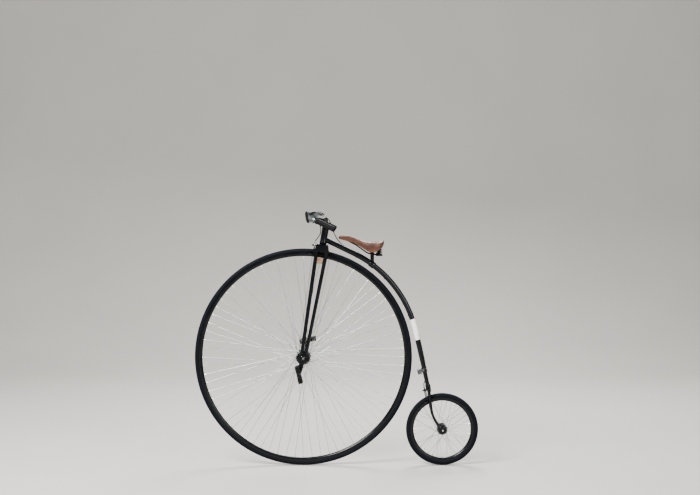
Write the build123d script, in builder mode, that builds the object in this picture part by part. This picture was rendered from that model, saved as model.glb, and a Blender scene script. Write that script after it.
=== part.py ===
from build123d import *
from collections import namedtuple
from math import cos, hypot, pi, radians, sin, tan
import os

# A penny farthing bicycle with a 50 inch front wheel, in millimetres.
# It faces -X, its left side is towards -Y, and Z is up.
# The origin is the rider's seat point, on the top of the saddle.

os.makedirs("parts", exist_ok=True)

# Driving dimensions
front_radius = 635.0
rear_radius = 211.5
wheelbase = 812.0
seat_behind_hub = 400.0
seat_above_hub = 675.0
rake = 9.8
spine_radius = 674.0
crank_length = 89.0

# Axles, the steerer, the wheels and the hubs are round. Other round pieces have flat sides,
# enough for their size, and bends are a few straight runs, which keeps the facets few.
tube_sides = 8
disc_sides = 14
wire_sides = 4
cable_sides = 4
bend_step = 22.0

# The two wheel centres
hub_x = -seat_behind_hub
hub_z = -seat_above_hub
rear_x = hub_x + wheelbase
rear_z = hub_z - front_radius + rear_radius

# The side view's plane has X backwards, Y up, and faces the left side.
hub_centre = Vector(hub_x, 0, hub_z)
rear_centre = Vector(rear_x, 0, rear_z)
side = Plane(origin=hub_centre, x_dir=(1, 0, 0), z_dir=(0, -1, 0))
across = Plane(origin=hub_centre, x_dir=(1, 0, 0), z_dir=(0, 1, 0))
rear_across = Plane(origin=rear_centre, x_dir=(1, 0, 0), z_dir=(0, 1, 0))

# The steering plane is square to the steering axis, which passes through the front hub:
# its X points backwards, its Y to the right side.
steer_up = Vector(sin(radians(rake)), 0, cos(radians(rake)))
steer_back = Vector(cos(radians(rake)), 0, -sin(radians(rake)))
steer = Plane(origin=hub_centre, x_dir=steer_back, z_dir=steer_up)
# View from behind along the steering axis: X to the right side, Y up the axis
steer_rear = Plane(origin=hub_centre, x_dir=(0, 1, 0), z_dir=steer_back)
# Side view along the steering axis: X backwards, Y up the axis, facing the left side
steer_side = Plane(origin=hub_centre, x_dir=steer_back, z_dir=(0, -1, 0))

left_and_right = (("left", -1), ("right", 1))


def from_hub(point):
    """Turns a point measured back, to the right and up from the front hub into a place."""
    return hub_centre + Vector(*point)


def mitred(route, radii, tube_radius, sides=tube_sides):
    """Adds a bar along a route whose bends are made of short straight runs, mitred together."""
    route = [Vector(*point) for point in route]
    points = [route[0]]
    for before, corner, after, radius in zip(route, route[1:], route[2:], radii):
        ahead = (corner - before).normalized()
        turn = ahead.get_angle(after - corner)
        inwards = ((after - corner) - ahead * ahead.dot(after - corner)).normalized()
        start = corner - ahead * (radius * tan(radians(turn / 2)))
        runs = max(1, round(turn / bend_step))
        for number in range(runs + 1):
            turned = radians(turn * number / runs)
            points.append(start + ahead * (radius * sin(turned)) + inwards * (radius * (1 - cos(turned))))
    points.append(route[-1])
    with BuildLine() as path:
        Polyline(*points)
    with BuildSketch(Plane(origin=points[0], z_dir=points[1] - points[0])) as section:
        RegularPolygon(tube_radius, sides)
    sweep(section.sketch, path=path.line, transition=Transition.RIGHT)


def straight_bar(start, end, start_radius, end_radius=None, sides=tube_sides):
    """Adds a bar between two points, tapered when it has an end radius."""
    start = Vector(start)
    end = Vector(end)
    with BuildSketch(Plane(origin=start, z_dir=end - start)) as first:
        RegularPolygon(start_radius, sides)
    if end_radius is None:
        extrude(first.sketch, amount=(end - start).length)
    else:
        with BuildSketch(Plane(origin=end, z_dir=end - start)) as last:
            RegularPolygon(end_radius, sides)
        loft([first.sketch.face(), last.sketch.face()])


# Wheels
# lip: outer radius of the rim, inner: its inner radius, circle: radius at which the spokes
# start inside the flanges, lacing: how far a spoke's start is turned back from its hole
# in the rim, in degrees
Wheel = namedtuple(
    "Wheel",
    "name centre radius tyre_width rim_width lip inner "
    "barrel flange circle flange_y hub_end collar bore spokes lacing",
)
wheels = (
    Wheel("front", hub_centre, front_radius, 28, 25, 613, 590,
          19, 42, 34, 34, 48.5, 14, 10.0, 72, 60),
    Wheel("rear", rear_centre, rear_radius, 34, 28, 188, 167,
          15, 30, 25, 29, 45.5, 10, 5.06, 36, 60),
)
rim_wall = 2.5
rim_seat = 6.0
tread_width = 0.55
flange_thickness = 6.0
spoke_width = 2.0
spoke_offset = 1.8
spoke_spread = 3.0
spoke_clearance = 0.3
flange_overlap = 1.0


def spoke_planes(wheel):
    """Planes at the hub ends of tangent-laced spokes, each facing its hole in the rim.

    Every other spoke belongs to the other flange, and on a flange every other spoke
    is set over and leans the other way, so crossing spokes pass clear.
    """
    planes = []
    for number in range(wheel.spokes):
        flange_side = 1 if number % 2 else -1
        pull = 1 if number // 2 % 2 else -1
        at_rim = radians(360 / wheel.spokes * number)
        at_hub = at_rim - pull * radians(wheel.lacing)
        hub_y = flange_side * (wheel.flange_y + pull * spoke_offset)
        rim_y = flange_side * spoke_spread
        start = wheel.centre + Vector(wheel.circle * cos(at_hub), hub_y, wheel.circle * sin(at_hub))
        end = wheel.centre + Vector(wheel.inner * cos(at_rim), rim_y, wheel.inner * sin(at_rim))
        spoke_line = end - start
        planes.append(Plane(origin=start, x_dir=spoke_line.cross(Vector(0, 1, 0)), z_dir=spoke_line))
    return planes


for wheel in wheels:
    axle_line = Axis(wheel.centre, (0, 1, 0))
    # In this plane X is the distance from the axle and Y runs to the left.
    section = Plane(origin=wheel.centre, x_dir=(0, 0, 1), z_dir=(1, 0, 0))
    half = wheel.rim_width / 2
    bed = half - rim_wall
    tyre_round = wheel.tyre_width / 2
    tyre_middle = wheel.radius - tyre_round
    tread = tyre_round * tread_width

    # Solid tyre, bulging over the rim's lips
    with BuildPart() as tyre:
        with BuildSketch(section):
            with BuildLine():
                Polyline((wheel.lip, bed), (tyre_middle, tyre_round), (wheel.radius, tread),
                         (wheel.radius, -tread), (tyre_middle, -tyre_round), (wheel.lip, -bed),
                         close=True)
            make_face()
        revolve(axis=axle_line)
    tyre.part.label = f"{wheel.name}_tyre"
    export_step(tyre.part, f"parts/{wheel.name}_tyre.step")

    with BuildPart() as rim:
        with BuildSketch(section):
            with BuildLine():
                Polyline((wheel.inner, rim_seat), (wheel.lip, half), (wheel.lip, -half),
                         (wheel.inner, -rim_seat), close=True)
            make_face()
        revolve(axis=axle_line)
    rim.part.label = f"{wheel.name}_rim"
    export_step(rim.part, f"parts/{wheel.name}_rim.step")

    with BuildPart() as hub:
        # The spokes end on the inside of the rim.
        reach = hypot(wheel.inner - wheel.circle * cos(radians(wheel.lacing)),
                      wheel.circle * sin(radians(wheel.lacing)),
                      wheel.flange_y - spoke_offset - spoke_spread)
        with BuildSketch(*spoke_planes(wheel)):
            Rectangle(spoke_width, spoke_width)
        extrude(amount=reach - spoke_clearance)
        # Each flange has one flat side for each of its spokes.
        for flange_side in (-1, 1):
            middle = Plane(origin=wheel.centre, x_dir=(1, 0, 0), z_dir=(0, flange_side, 0))
            with BuildSketch(middle.offset(wheel.flange_y)):
                RegularPolygon(wheel.flange, wheel.spokes // 2)
                Circle(wheel.barrel - flange_overlap, mode=Mode.SUBTRACT)
            extrude(amount=flange_thickness / 2, both=True)
        cone = wheel.flange_y + flange_thickness / 2
        with BuildSketch(section):
            with BuildLine():
                Polyline((wheel.bore, -wheel.hub_end), (wheel.collar, -wheel.hub_end),
                         (wheel.barrel, -cone), (wheel.barrel, cone),
                         (wheel.collar, wheel.hub_end), (wheel.bore, wheel.hub_end), close=True)
            make_face()
        revolve(axis=axle_line)
    hub.part.label = f"{wheel.name}_hub"
    export_step(hub.part, f"parts/{wheel.name}_hub.step")

# Front axle, turning in a bearing at the foot of each fork leg
axle_radius = 10.0
running_gap = 0.05
bearing_y = 56.0
bearing_radius = 21.0
bearing_width = 14.0
housing_radius = 29.0
housing_width = 20.0
crank_inside = 68.0
crank_outside = 92.0

with BuildPart() as front_axle:
    with BuildSketch(across):
        Circle(axle_radius)
    extrude(amount=crank_outside, both=True)
front_axle.part.label = "front_axle"
export_step(front_axle.part, "parts/front_axle.step")

# Cranks: the left one points down, the right one up
crank_lean = 14.0
arm_inside = 73.0
arm_outside = 87.0
arm_root = 14.0
arm_tip = 10.0
boss_radius = 19.0
eye_radius = 13.0
eye_stands_out = 3.0
spindle_radius = 6.0
spindle_end = 188.0
crank_ends = {}
for name, way in left_and_right:
    direction = Vector(way * sin(radians(crank_lean)), 0, way * cos(radians(crank_lean)))
    eye = hub_centre + direction * crank_length
    crank_ends[name] = eye
    # In this plane X runs along the crank.
    arm_plane = Plane(origin=hub_centre, x_dir=direction, z_dir=(0, way, 0))
    eye_plane = Plane(origin=eye, x_dir=direction, z_dir=(0, way, 0))
    with BuildPart() as crank:
        with BuildSketch(arm_plane.offset(arm_inside)):
            with BuildLine():
                Polyline((0, arm_root), (crank_length, arm_tip), (crank_length, -arm_tip),
                         (0, -arm_root), close=True)
            make_face()
        extrude(amount=arm_outside - arm_inside)
        with BuildSketch(arm_plane.offset(crank_inside)):
            RegularPolygon(boss_radius, disc_sides)
        extrude(amount=crank_outside - crank_inside)
        with BuildSketch(eye_plane.offset(arm_inside)):
            RegularPolygon(eye_radius, disc_sides)
        extrude(amount=arm_outside + eye_stands_out - arm_inside)
        with BuildSketch(eye_plane.offset(arm_outside)):
            Circle(spindle_radius)
        extrude(amount=spindle_end - arm_outside)
        with BuildSketch(arm_plane.offset(crank_inside)):
            RegularPolygon(axle_radius, disc_sides, major_radius=False)
        extrude(amount=crank_outside - crank_inside, mode=Mode.SUBTRACT)
    crank.part.label = f"crank_{name}"
    export_step(crank.part, f"parts/crank_{name}.step")

# Pedals: two rubber blocks on rods between two end plates, free to turn on the spindle
pedal_length = 98.0
pedal_thickness = 25.0
pedal_inside = 94.0
pedal_outside = 184.0
plate_thickness = 3.0
plate_length = 90.0
plate_width = 19.0
plate_corner = 5.5
barrel_radius = 11.0
rod_radius = 4.0
block_length = 34.0
block_at = pedal_length / 2 - block_length / 2
pedal_tilts = {"left": 103.0, "right": 12.0}
for name, way in left_and_right:
    tilt = radians(pedal_tilts[name])
    flat = Plane(origin=crank_ends[name], x_dir=(cos(tilt), 0, sin(tilt)), z_dir=(0, way, 0))
    with BuildPart() as pedal:
        for start in (pedal_inside, pedal_outside - plate_thickness):
            with BuildSketch(flat.offset(start)) as plate:
                Rectangle(plate_length, plate_width)
                chamfer(plate.vertices(), plate_corner)
            extrude(amount=plate_thickness)
        with BuildSketch(flat.offset(pedal_inside)):
            RegularPolygon(barrel_radius, tube_sides)
            with Locations((block_at, 0), (-block_at, 0)):
                RegularPolygon(rod_radius, wire_sides)
        extrude(amount=pedal_outside - pedal_inside)
        with BuildSketch(flat.offset(pedal_inside)):
            RegularPolygon(spindle_radius + running_gap, disc_sides, major_radius=False)
        extrude(amount=pedal_outside - pedal_inside, mode=Mode.SUBTRACT)
    pedal.part.label = f"pedal_{name}_frame"
    export_step(pedal.part, f"parts/pedal_{name}_frame.step")

    with BuildPart() as blocks:
        with BuildSketch(flat.offset(pedal_inside + plate_thickness)):
            with Locations((block_at, 0), (-block_at, 0)):
                Rectangle(block_length, pedal_thickness)
                RegularPolygon(rod_radius, wire_sides, mode=Mode.SUBTRACT)
        extrude(amount=pedal_outside - pedal_inside - 2 * plate_thickness)
    blocks.part.label = f"pedal_{name}_blocks"
    export_step(blocks.part, f"parts/pedal_{name}_blocks.step")

# Fork: a pair of tapered tubes on each side, spread at the crown and gathered at the bearing
fork_tube_top = 11.0
fork_tube_low = 9.5
crown_low = 623.0
crown_top = 670.0
crown_y = 38.0
tube_spread_top = 29.0
tube_spread_low = 12.0
tube_overrun = 0.04
bridge_length = 50.0
bridge_low = 555.0
bridge_high = 592.0
bridge_thickness = 6.0
cap_ear = 7.0
cap_ear_depth = 8.0

for name, way in left_and_right:
    housing = Plane(origin=hub_centre, x_dir=steer_back, z_dir=(0, -1, 0)).offset(-way * bearing_y)
    with BuildPart() as fork:
        for lean in (-1, 1):
            foot = hub_centre + steer_back * (lean * tube_spread_low) + Vector(0, way * bearing_y, 0)
            head = (hub_centre + steer_back * (lean * tube_spread_top) + steer_up * crown_low
                    + Vector(0, way * crown_y, 0))
            beyond = (head - foot) * tube_overrun
            straight_bar(foot, head + beyond, fork_tube_low, fork_tube_top)
        split(bisect_by=steer.offset(crown_low), keep=Keep.BOTTOM)
        # Plate that ties the two tubes together below the crown
        bridge_middle = (bridge_low + bridge_high) / 2
        middle_y = bearing_y + (crown_y - bearing_y) * bridge_middle / crown_low
        with BuildSketch(steer_side.offset(-way * middle_y)):
            with Locations((0, bridge_middle)):
                Rectangle(bridge_length, bridge_high - bridge_low)
        extrude(amount=bridge_thickness / 2, both=True)
        with BuildSketch(housing):
            RegularPolygon(housing_radius, disc_sides)
        extrude(amount=housing_width / 2, both=True)
        # Only the upper half of the housing is part of the leg.
        with BuildSketch(housing):
            with Locations((0, -housing_radius)):
                Rectangle(4 * housing_radius, 2 * housing_radius)
        extrude(amount=housing_width, both=True, mode=Mode.SUBTRACT)
        with BuildSketch(housing):
            RegularPolygon(bearing_radius, disc_sides)
        extrude(amount=housing_width, both=True, mode=Mode.SUBTRACT)
    fork.part.label = f"fork_{name}"
    export_step(fork.part, f"parts/fork_{name}.step")

    with BuildPart() as bearing_cap:
        with BuildSketch(housing):
            RegularPolygon(housing_radius, disc_sides)
            with Locations((0, -cap_ear_depth / 2)):
                Rectangle(2 * housing_radius + 2 * cap_ear, cap_ear_depth)
            with Locations((0, housing_radius)):
                Rectangle(4 * housing_radius, 2 * housing_radius, mode=Mode.SUBTRACT)
            RegularPolygon(bearing_radius, disc_sides, mode=Mode.SUBTRACT)
        extrude(amount=housing_width / 2, both=True)
    bearing_cap.part.label = f"bearing_cap_{name}"
    export_step(bearing_cap.part, f"parts/bearing_cap_{name}.step")

    with BuildPart() as bearing:
        with BuildSketch(housing):
            RegularPolygon(bearing_radius, disc_sides)
            RegularPolygon(axle_radius + running_gap, disc_sides, major_radius=False, mode=Mode.SUBTRACT)
        extrude(amount=bearing_width / 2, both=True)
    bearing.part.label = f"bearing_{name}"
    export_step(bearing.part, f"parts/bearing_{name}.step")

# Fork crown: an arch over the tyre, longer at its foot than at its top, with the steerer
arch_radius = 25.0
arch_centre = 622.0
arch_sides = 16
crown_half_width = 51.0
crown_shoulder = 34.0
crown_bevel = 648.0
crown_foot = 43.0
crown_head = 33.0
crown_skirt = 634.0
steerer_radius = 12.7
steerer_top = 779.0
with BuildPart() as fork_crown:
    with BuildSketch(steer_rear):
        with BuildLine():
            Polyline((-crown_half_width, crown_low), (-crown_half_width, crown_bevel),
                     (-crown_shoulder, crown_top), (crown_shoulder, crown_top),
                     (crown_half_width, crown_bevel), (crown_half_width, crown_low), close=True)
        make_face()
        with Locations((0, arch_centre)):
            RegularPolygon(arch_radius, arch_sides, mode=Mode.SUBTRACT)
        with Locations((0, arch_centre - arch_radius)):
            Rectangle(2 * arch_radius, 2 * arch_radius, mode=Mode.SUBTRACT)
    extrude(amount=crown_foot, both=True)
    with BuildSketch(steer_side):
        with BuildLine():
            Polyline((-crown_foot, crown_low), (-crown_foot, crown_skirt), (-crown_head, crown_top),
                     (crown_head, crown_top), (crown_foot, crown_skirt), (crown_foot, crown_low),
                     close=True)
        make_face()
    extrude(amount=crown_half_width, both=True, mode=Mode.INTERSECT)
    with BuildSketch(steer.offset(crown_top)):
        Circle(steerer_radius)
    extrude(amount=steerer_top - crown_top)
fork_crown.part.label = "fork_crown"
export_step(fork_crown.part, "parts/fork_crown.step")

# Head tube with its cups, turning round the steerer between the two races
head_low = 676.0
head_high = 760.0
head_radius = 20.0
head_bore = 16.0
cup_height = 3.0
cup_lip = 2.0
cup_bore = 14.3
race_gap = 0.5
race_height = 6.0
race_radius = 21.0
nut_sides = 6
with BuildPart() as head_tube:
    with BuildSketch(steer.offset(head_low)):
        RegularPolygon(head_radius, disc_sides)
        RegularPolygon(head_bore, disc_sides, mode=Mode.SUBTRACT)
    extrude(amount=head_high - head_low)
head_tube.part.label = "head_tube"
export_step(head_tube.part, "parts/head_tube.step")

with BuildPart() as headset_cups:
    for level in (head_low - cup_height, head_high):
        with BuildSketch(steer.offset(level)):
            RegularPolygon(head_radius + cup_lip, disc_sides)
            RegularPolygon(cup_bore, disc_sides, mode=Mode.SUBTRACT)
        extrude(amount=cup_height)
headset_cups.part.label = "headset_cups"
export_step(headset_cups.part, "parts/headset_cups.step")

with BuildPart() as headset_races:
    lower_race = head_low - cup_height - race_gap - crown_top
    upper_race = head_high + cup_height + race_gap
    locknut = upper_race + race_height
    for level, height, sides in (
        (crown_top, lower_race, disc_sides),
        (upper_race, race_height, disc_sides),
        (locknut, steerer_top - locknut, nut_sides),
    ):
        with BuildSketch(steer.offset(level)):
            RegularPolygon(race_radius, sides)
            # The flats of the bore touch the round steerer.
            RegularPolygon(steerer_radius, disc_sides, major_radius=False, mode=Mode.SUBTRACT)
        extrude(amount=height)
headset_races.part.label = "headset_races"
export_step(headset_races.part, "parts/headset_races.step")

# Backbone: straight from the head tube, round the front wheel, and tapered behind it
spine_tube = 15.5
spine_end = 11.5
arc_from = 64.0
arc_to = 12.5
neck_point = (118.0, 692.4)
taper_length = 330.0
arc_end = (spine_radius * cos(radians(arc_to)), spine_radius * sin(radians(arc_to)))
taper_end = (arc_end[0] + taper_length * sin(radians(arc_to)),
             arc_end[1] - taper_length * cos(radians(arc_to)))


def spine_plane(angle):
    """Plane across the backbone at an angle round the front wheel, facing along it."""
    place = (spine_radius * cos(radians(angle)), spine_radius * sin(radians(angle)), 0)
    return Plane(origin=side.from_local_coords(place), x_dir=(0, 1, 0),
                 z_dir=(sin(radians(angle)), 0, -cos(radians(angle))))


with BuildPart() as backbone:
    with BuildLine(side) as spine:
        arc = CenterArc((0, 0), spine_radius, arc_from, arc_to - arc_from)
        Line(neck_point, arc @ 0)
    taper_start = spine_plane(arc_to)
    with BuildSketch(taper_start) as tube:
        RegularPolygon(spine_tube, tube_sides)
    sweep(tube.sketch, path=spine.line)
    with BuildSketch(taper_start.offset(taper_length)) as narrow:
        RegularPolygon(spine_end, tube_sides)
    loft([tube.sketch.face(), narrow.sketch.face()])
    with BuildSketch(steer.offset(head_low)) as head_outside:
        RegularPolygon(head_radius, disc_sides)
    extrude(head_outside.sketch, amount=head_high - head_low, mode=Mode.SUBTRACT)
backbone.part.label = "backbone"
export_step(backbone.part, "parts/backbone.step")

# Rear fork: a crown across the end of the backbone, and a curved blade on each side
fork_lean = 7.0
crown_at = (-79.0, 233.0)
crown_depth = 20.0
crown_width = 24.0
crown_corner = 7.0
sleeve_radius = 15.0
sleeve_length = 21.0
blade_y_top = 34.0
blade_y_low = 49.0
blade_radius = 8.0
blade_straight = 106.0
blade_cut_radius = 13.0
blade_cut_inside = 38.0
blade_cut_length = 24.0
down = Vector(sin(radians(arc_to)), 0, -cos(radians(arc_to)))
crown_centre = rear_centre + Vector(crown_at[0], 0, crown_at[1])
crown_plane = Plane(origin=crown_centre, x_dir=(0, 1, 0), z_dir=-down)
with BuildPart() as rear_fork_crown:
    with BuildSketch(crown_plane.offset(-crown_depth / 2)) as across_tyre:
        Rectangle(2 * blade_y_top + crown_width, crown_width)
        chamfer(across_tyre.vertices(), crown_corner)
    extrude(amount=crown_depth)
    with BuildSketch(crown_plane.offset(crown_depth / 2)):
        RegularPolygon(sleeve_radius, tube_sides)
    extrude(amount=sleeve_length)
    add(backbone.part, mode=Mode.SUBTRACT)
rear_fork_crown.part.label = "rear_fork_crown"
export_step(rear_fork_crown.part, "parts/rear_fork_crown.step")

# Rear axle with its nuts; the dropouts sit between them and the hub
rear_axle_radius = 5.0
rear_axle_end = 66.0
dropout_inside = 46.0
dropout_thickness = 6.0
dropout_radius = 17.0
nut_radius = 9.5
nut_thickness = 10.5
with BuildPart() as rear_axle:
    with BuildSketch(rear_across):
        Circle(rear_axle_radius)
    extrude(amount=rear_axle_end, both=True)
    for _, way in left_and_right:
        with BuildSketch(rear_across.offset(way * (dropout_inside + dropout_thickness))):
            RegularPolygon(nut_radius, nut_sides)
        extrude(amount=way * nut_thickness)
rear_axle.part.label = "rear_axle"
export_step(rear_axle.part, "parts/rear_axle.step")

# Rear blades: straight from the crown, then curved back to the axle and a little outwards
blade_sides = 6
blade_down = Vector(sin(radians(fork_lean)), 0, -cos(radians(fork_lean)))
blade_back = Vector(cos(radians(fork_lean)), 0, sin(radians(fork_lean)))
to_axle = rear_centre - crown_centre
blade_fall = to_axle.dot(blade_down)
blade_set_back = to_axle.dot(blade_back)
for name, way in left_and_right:
    outwards = (blade_y_low - blade_y_top) / blade_fall
    blade_line = blade_down + Vector(0, way * outwards, 0)
    blade_plane = Plane(origin=crown_centre + Vector(0, way * blade_y_top, 0),
                        x_dir=blade_back, z_dir=blade_back.cross(blade_line))
    slope = blade_line.length
    with BuildPart() as blade:
        with BuildLine(blade_plane) as blade_path:
            straight = Line((0, 0), (0, blade_straight * slope))
            TangentArc(straight @ 1, (blade_set_back, blade_fall * slope), tangent=(0, 1))
        with BuildSketch(Plane(origin=straight @ 0, x_dir=blade_back, z_dir=straight % 0)) as tube:
            RegularPolygon(blade_radius, blade_sides)
        sweep(tube.sketch, path=blade_path.line)
        add(rear_fork_crown.part, mode=Mode.SUBTRACT)
        # The blade's end is cut away round the axle and a flat dropout takes its place.
        with BuildSketch(rear_across.offset(way * blade_cut_inside)) as round_axle:
            RegularPolygon(blade_cut_radius, disc_sides)
        extrude(round_axle.sketch, amount=way * blade_cut_length, mode=Mode.SUBTRACT)
        with BuildSketch(rear_across.offset(way * dropout_inside)) as dropout:
            RegularPolygon(dropout_radius, disc_sides)
            RegularPolygon(rear_axle_radius, disc_sides, major_radius=False, mode=Mode.SUBTRACT)
        extrude(dropout.sketch, amount=way * dropout_thickness)
    blade.part.label = f"rear_fork_{name}"
    export_step(blade.part, f"parts/rear_fork_{name}.step")

# Mounting step on the left of the backbone
step_height = -75.0
step_size = 23.0
step_reach = 78.0
step_forward = 31.0
step_arm = 16.0
step_band = 26.0
band_wall = 4.0
along = (arc_end[1] - step_height) / cos(radians(arc_to))
step_tube = spine_tube - (spine_tube - spine_end) * along / taper_length
step_centre = side.from_local_coords((arc_end[0] + along * sin(radians(arc_to)), step_height, 0))
step_plane = Plane(origin=step_centre, x_dir=(cos(radians(arc_to)), 0, sin(radians(arc_to))), z_dir=(0, -1, 0))
with BuildPart() as mounting_step:
    with BuildSketch(Plane(origin=step_centre - down * (step_band / 2), x_dir=(0, 1, 0), z_dir=down)):
        RegularPolygon(step_tube + band_wall, tube_sides)
    extrude(amount=step_band)
    with BuildSketch(step_plane):
        with Locations((-step_forward / 2, 0)):
            Rectangle(step_forward, step_arm)
    extrude(amount=step_tube)
    with BuildSketch(step_plane):
        with Locations((-step_forward, 0)):
            Rectangle(step_size, step_size)
    extrude(amount=step_reach)
    add(backbone.part, mode=Mode.SUBTRACT)
mounting_step.part.label = "mounting_step"
export_step(mounting_step.part, "parts/mounting_step.step")

# Saddle: a leather shell, its lines measured from the seat point, from the nose to the back
# Columns of the top line and of the skirt's edge in side view: back, up
# Columns of the outline from above: back, outwards
leather = 5.0
saddle_below = 80.0
saddle_height = 140.0
saddle_width = 220.0
top_line = ((-195, 29), (-172, 36), (-130, 36), (-98, 25), (-50, 6), (-5, 0), (40, 4), (71, 15))
skirt_line = ((-195, 18), (-104, -8), (-11, -63), (38, -55), (71, -20))
outline = ((-195, 0), (-193, 13), (-180, 21), (-100, 30), (-55, 42), (-20, 62), (14, 92),
           (34, 103), (52, 98), (65, 70), (71, 0))

with BuildPart() as saddle_cover:
    with BuildSketch(Plane.XZ):
        with BuildLine():
            Polyline(*top_line, *reversed(skirt_line), close=True)
        make_face()
    extrude(amount=saddle_width / 2, both=True)
    with BuildSketch(Plane.XY.offset(-saddle_below)) as plan:
        with BuildLine():
            Polyline(*outline)
            mirror(about=Plane.XZ)
        make_face()
    extrude(amount=saddle_height, mode=Mode.INTERSECT)
    # The hollow under the leather, made as a second shell and cut away
    with BuildSketch(Plane.XZ.offset(-saddle_width / 2)) as inside_profile:
        under_top = [(back, up - leather) for back, up in top_line]
        with BuildLine():
            Polyline(*under_top, (top_line[-1][0], -saddle_below), (top_line[0][0], -saddle_below),
                     close=True)
        make_face()
    block = extrude(inside_profile.sketch, amount=saddle_width, mode=Mode.PRIVATE)
    with BuildSketch(Plane.XY.offset(-saddle_below)) as inside_plan:
        add(offset(plan.sketch_local, amount=-leather, mode=Mode.PRIVATE))
    column = extrude(inside_plan.sketch, amount=saddle_height, mode=Mode.PRIVATE)
    add(block & column, mode=Mode.SUBTRACT)
saddle_cover.part.label = "saddle_cover"
export_step(saddle_cover.part, "parts/saddle_cover.step")

# Saddle frame: two rails from the nose plate to the yoke under the springs
rail_radius = 3.5
rail_route = ((-168, 8, 20), (-92, 17, -20), (-24, 22, -68), (42, 36, -79))
rail_radii = (30, 25)
nose_plate = (22, 26)
nose_plate_low = 17.0
seat_lip = 4.0
plate_depth = 6.0
yoke_width = 12.0
spring_x = 42.0
spring_y = 42.0
spring_low = -74.0
spring_high = -22.0
spring_radius = 16.0
spring_wire = 2.6
yoke_low = spring_low - spring_wire - plate_depth
with BuildPart() as saddle_frame:
    for _, way in left_and_right:
        mitred([(x, way * y, z) for x, y, z in rail_route], rail_radii, rail_radius, wire_sides)
        with BuildSketch(Plane.XY.offset(yoke_low)):
            with Locations((spring_x, way * spring_y)):
                RegularPolygon(spring_radius + seat_lip, disc_sides)
        extrude(amount=plate_depth)
    with BuildSketch(Plane.XY.offset(nose_plate_low)):
        with Locations((rail_route[0][0], 0)):
            Rectangle(*nose_plate)
    extrude(amount=plate_depth)
    with BuildSketch(Plane.XY.offset(yoke_low)):
        with Locations((spring_x, 0)):
            Rectangle(yoke_width, 2 * spring_y)
    extrude(amount=plate_depth)
saddle_frame.part.label = "saddle_frame"
export_step(saddle_frame.part, "parts/saddle_frame.step")

# Plate under the back of the leather, which rests on the springs
back_plate_x = 43.0
back_plate_length = 150.0
back_plate_width = 26.0
back_plate_corner = 8.0
back_plate_thickness = 4.0
with BuildPart() as saddle_plate:
    with BuildSketch(Plane.XY.offset(spring_high + spring_wire)) as back_plate:
        with Locations((back_plate_x, 0)):
            Rectangle(back_plate_width, back_plate_length)
        chamfer(back_plate.vertices(), back_plate_corner)
    extrude(amount=back_plate_thickness)
saddle_plate.part.label = "saddle_plate"
export_step(saddle_plate.part, "parts/saddle_plate.step")

# The two coil springs under the back of the saddle, each coil's turns in short straight runs
spring_turns = 4
runs_a_turn = 6
coil_runs = spring_turns * runs_a_turn
with BuildPart() as saddle_springs:
    for _, way in left_and_right:
        points = []
        for number in range(coil_runs + 1):
            share = number / coil_runs
            turned = share * spring_turns * 2 * pi
            points.append((spring_x + spring_radius * cos(turned),
                           way * (spring_y + spring_radius * sin(turned)),
                           spring_low + share * (spring_high - spring_low)))
        with BuildLine() as coil:
            Polyline(*points)
        with BuildSketch(Plane(origin=coil.line @ 0, x_dir=(1, 0, 0), z_dir=coil.line % 0)) as wire:
            RegularPolygon(spring_wire, wire_sides, major_radius=False)
        sweep(wire.sketch, path=coil.line, transition=Transition.RIGHT)
saddle_springs.part.label = "saddle_springs"
export_step(saddle_springs.part, "parts/saddle_springs.step")

# Seat post: a band round the backbone with a short post that carries the rails
post_angle = 53.4
post_x = 2.0
post_radius = 11.0
post_band = spine_plane(post_angle)
post_band_length = 32.0
rail_level = -68.0
rail_clamp = 12.0
rail_clamp_length = 66.0
with BuildPart() as seat_post:
    with BuildSketch(post_band.offset(-post_band_length / 2)):
        RegularPolygon(spine_tube + band_wall, tube_sides)
    extrude(amount=post_band_length)
    with BuildSketch(Plane(origin=(post_x, 0, post_band.origin.Z))):
        RegularPolygon(post_radius, tube_sides)
    extrude(amount=rail_level - post_band.origin.Z)
    with BuildSketch(Plane(origin=(post_x, 0, rail_level), x_dir=(1, 0, 0), z_dir=(0, 1, 0))):
        RegularPolygon(rail_clamp, tube_sides)
    extrude(amount=rail_clamp_length / 2, both=True)
    add(backbone.part, mode=Mode.SUBTRACT)
    add(saddle_frame.part, mode=Mode.SUBTRACT)
seat_post.part.label = "seat_post"
export_step(seat_post.part, "parts/seat_post.step")

# Handlebar, whose ends sweep back; half of its route from the clamp, measured from the front hub
# Columns: back, outwards, up
bar_radius = 11.1
bar_half = ((127, 45, 798), (32, 168, 820), (44, 212, 816), (182, 272, 751))
bar_radii = (60, 41, 41)
bar_route = [from_hub((x, -y, z)) for x, y, z in reversed(bar_half)]
bar_route += [from_hub(point) for point in bar_half]
with BuildPart() as handlebar:
    mitred(bar_route, (*reversed(bar_radii[1:]), bar_radii[0], bar_radii[0], *bar_radii[1:]), bar_radius)
handlebar.part.label = "handlebar"
export_step(handlebar.part, "parts/handlebar.step")

# Stem between the locknut and the middle of the handlebar
stem_radius = 11.5
stem_upright = 14.0
stem_overlap = 4.0
clamp_radius = 17.0
clamp_length = 44.0
bar_middle = from_hub((bar_half[0][0], 0, bar_half[0][2]))
stem_foot = hub_centre + steer_up * steerer_top
with BuildPart() as stem:
    straight_bar(stem_foot, stem_foot + steer_up * stem_upright, stem_radius)
    straight_bar(stem_foot + steer_up * (stem_upright - stem_overlap), bar_middle, stem_radius)
    with BuildSketch(Plane(origin=bar_middle, x_dir=(1, 0, 0), z_dir=(0, 1, 0))):
        RegularPolygon(clamp_radius, disc_sides)
    extrude(amount=clamp_length / 2, both=True)
    add(handlebar.part, mode=Mode.SUBTRACT)
stem.part.label = "stem"
export_step(stem.part, "parts/stem.step")

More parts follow.
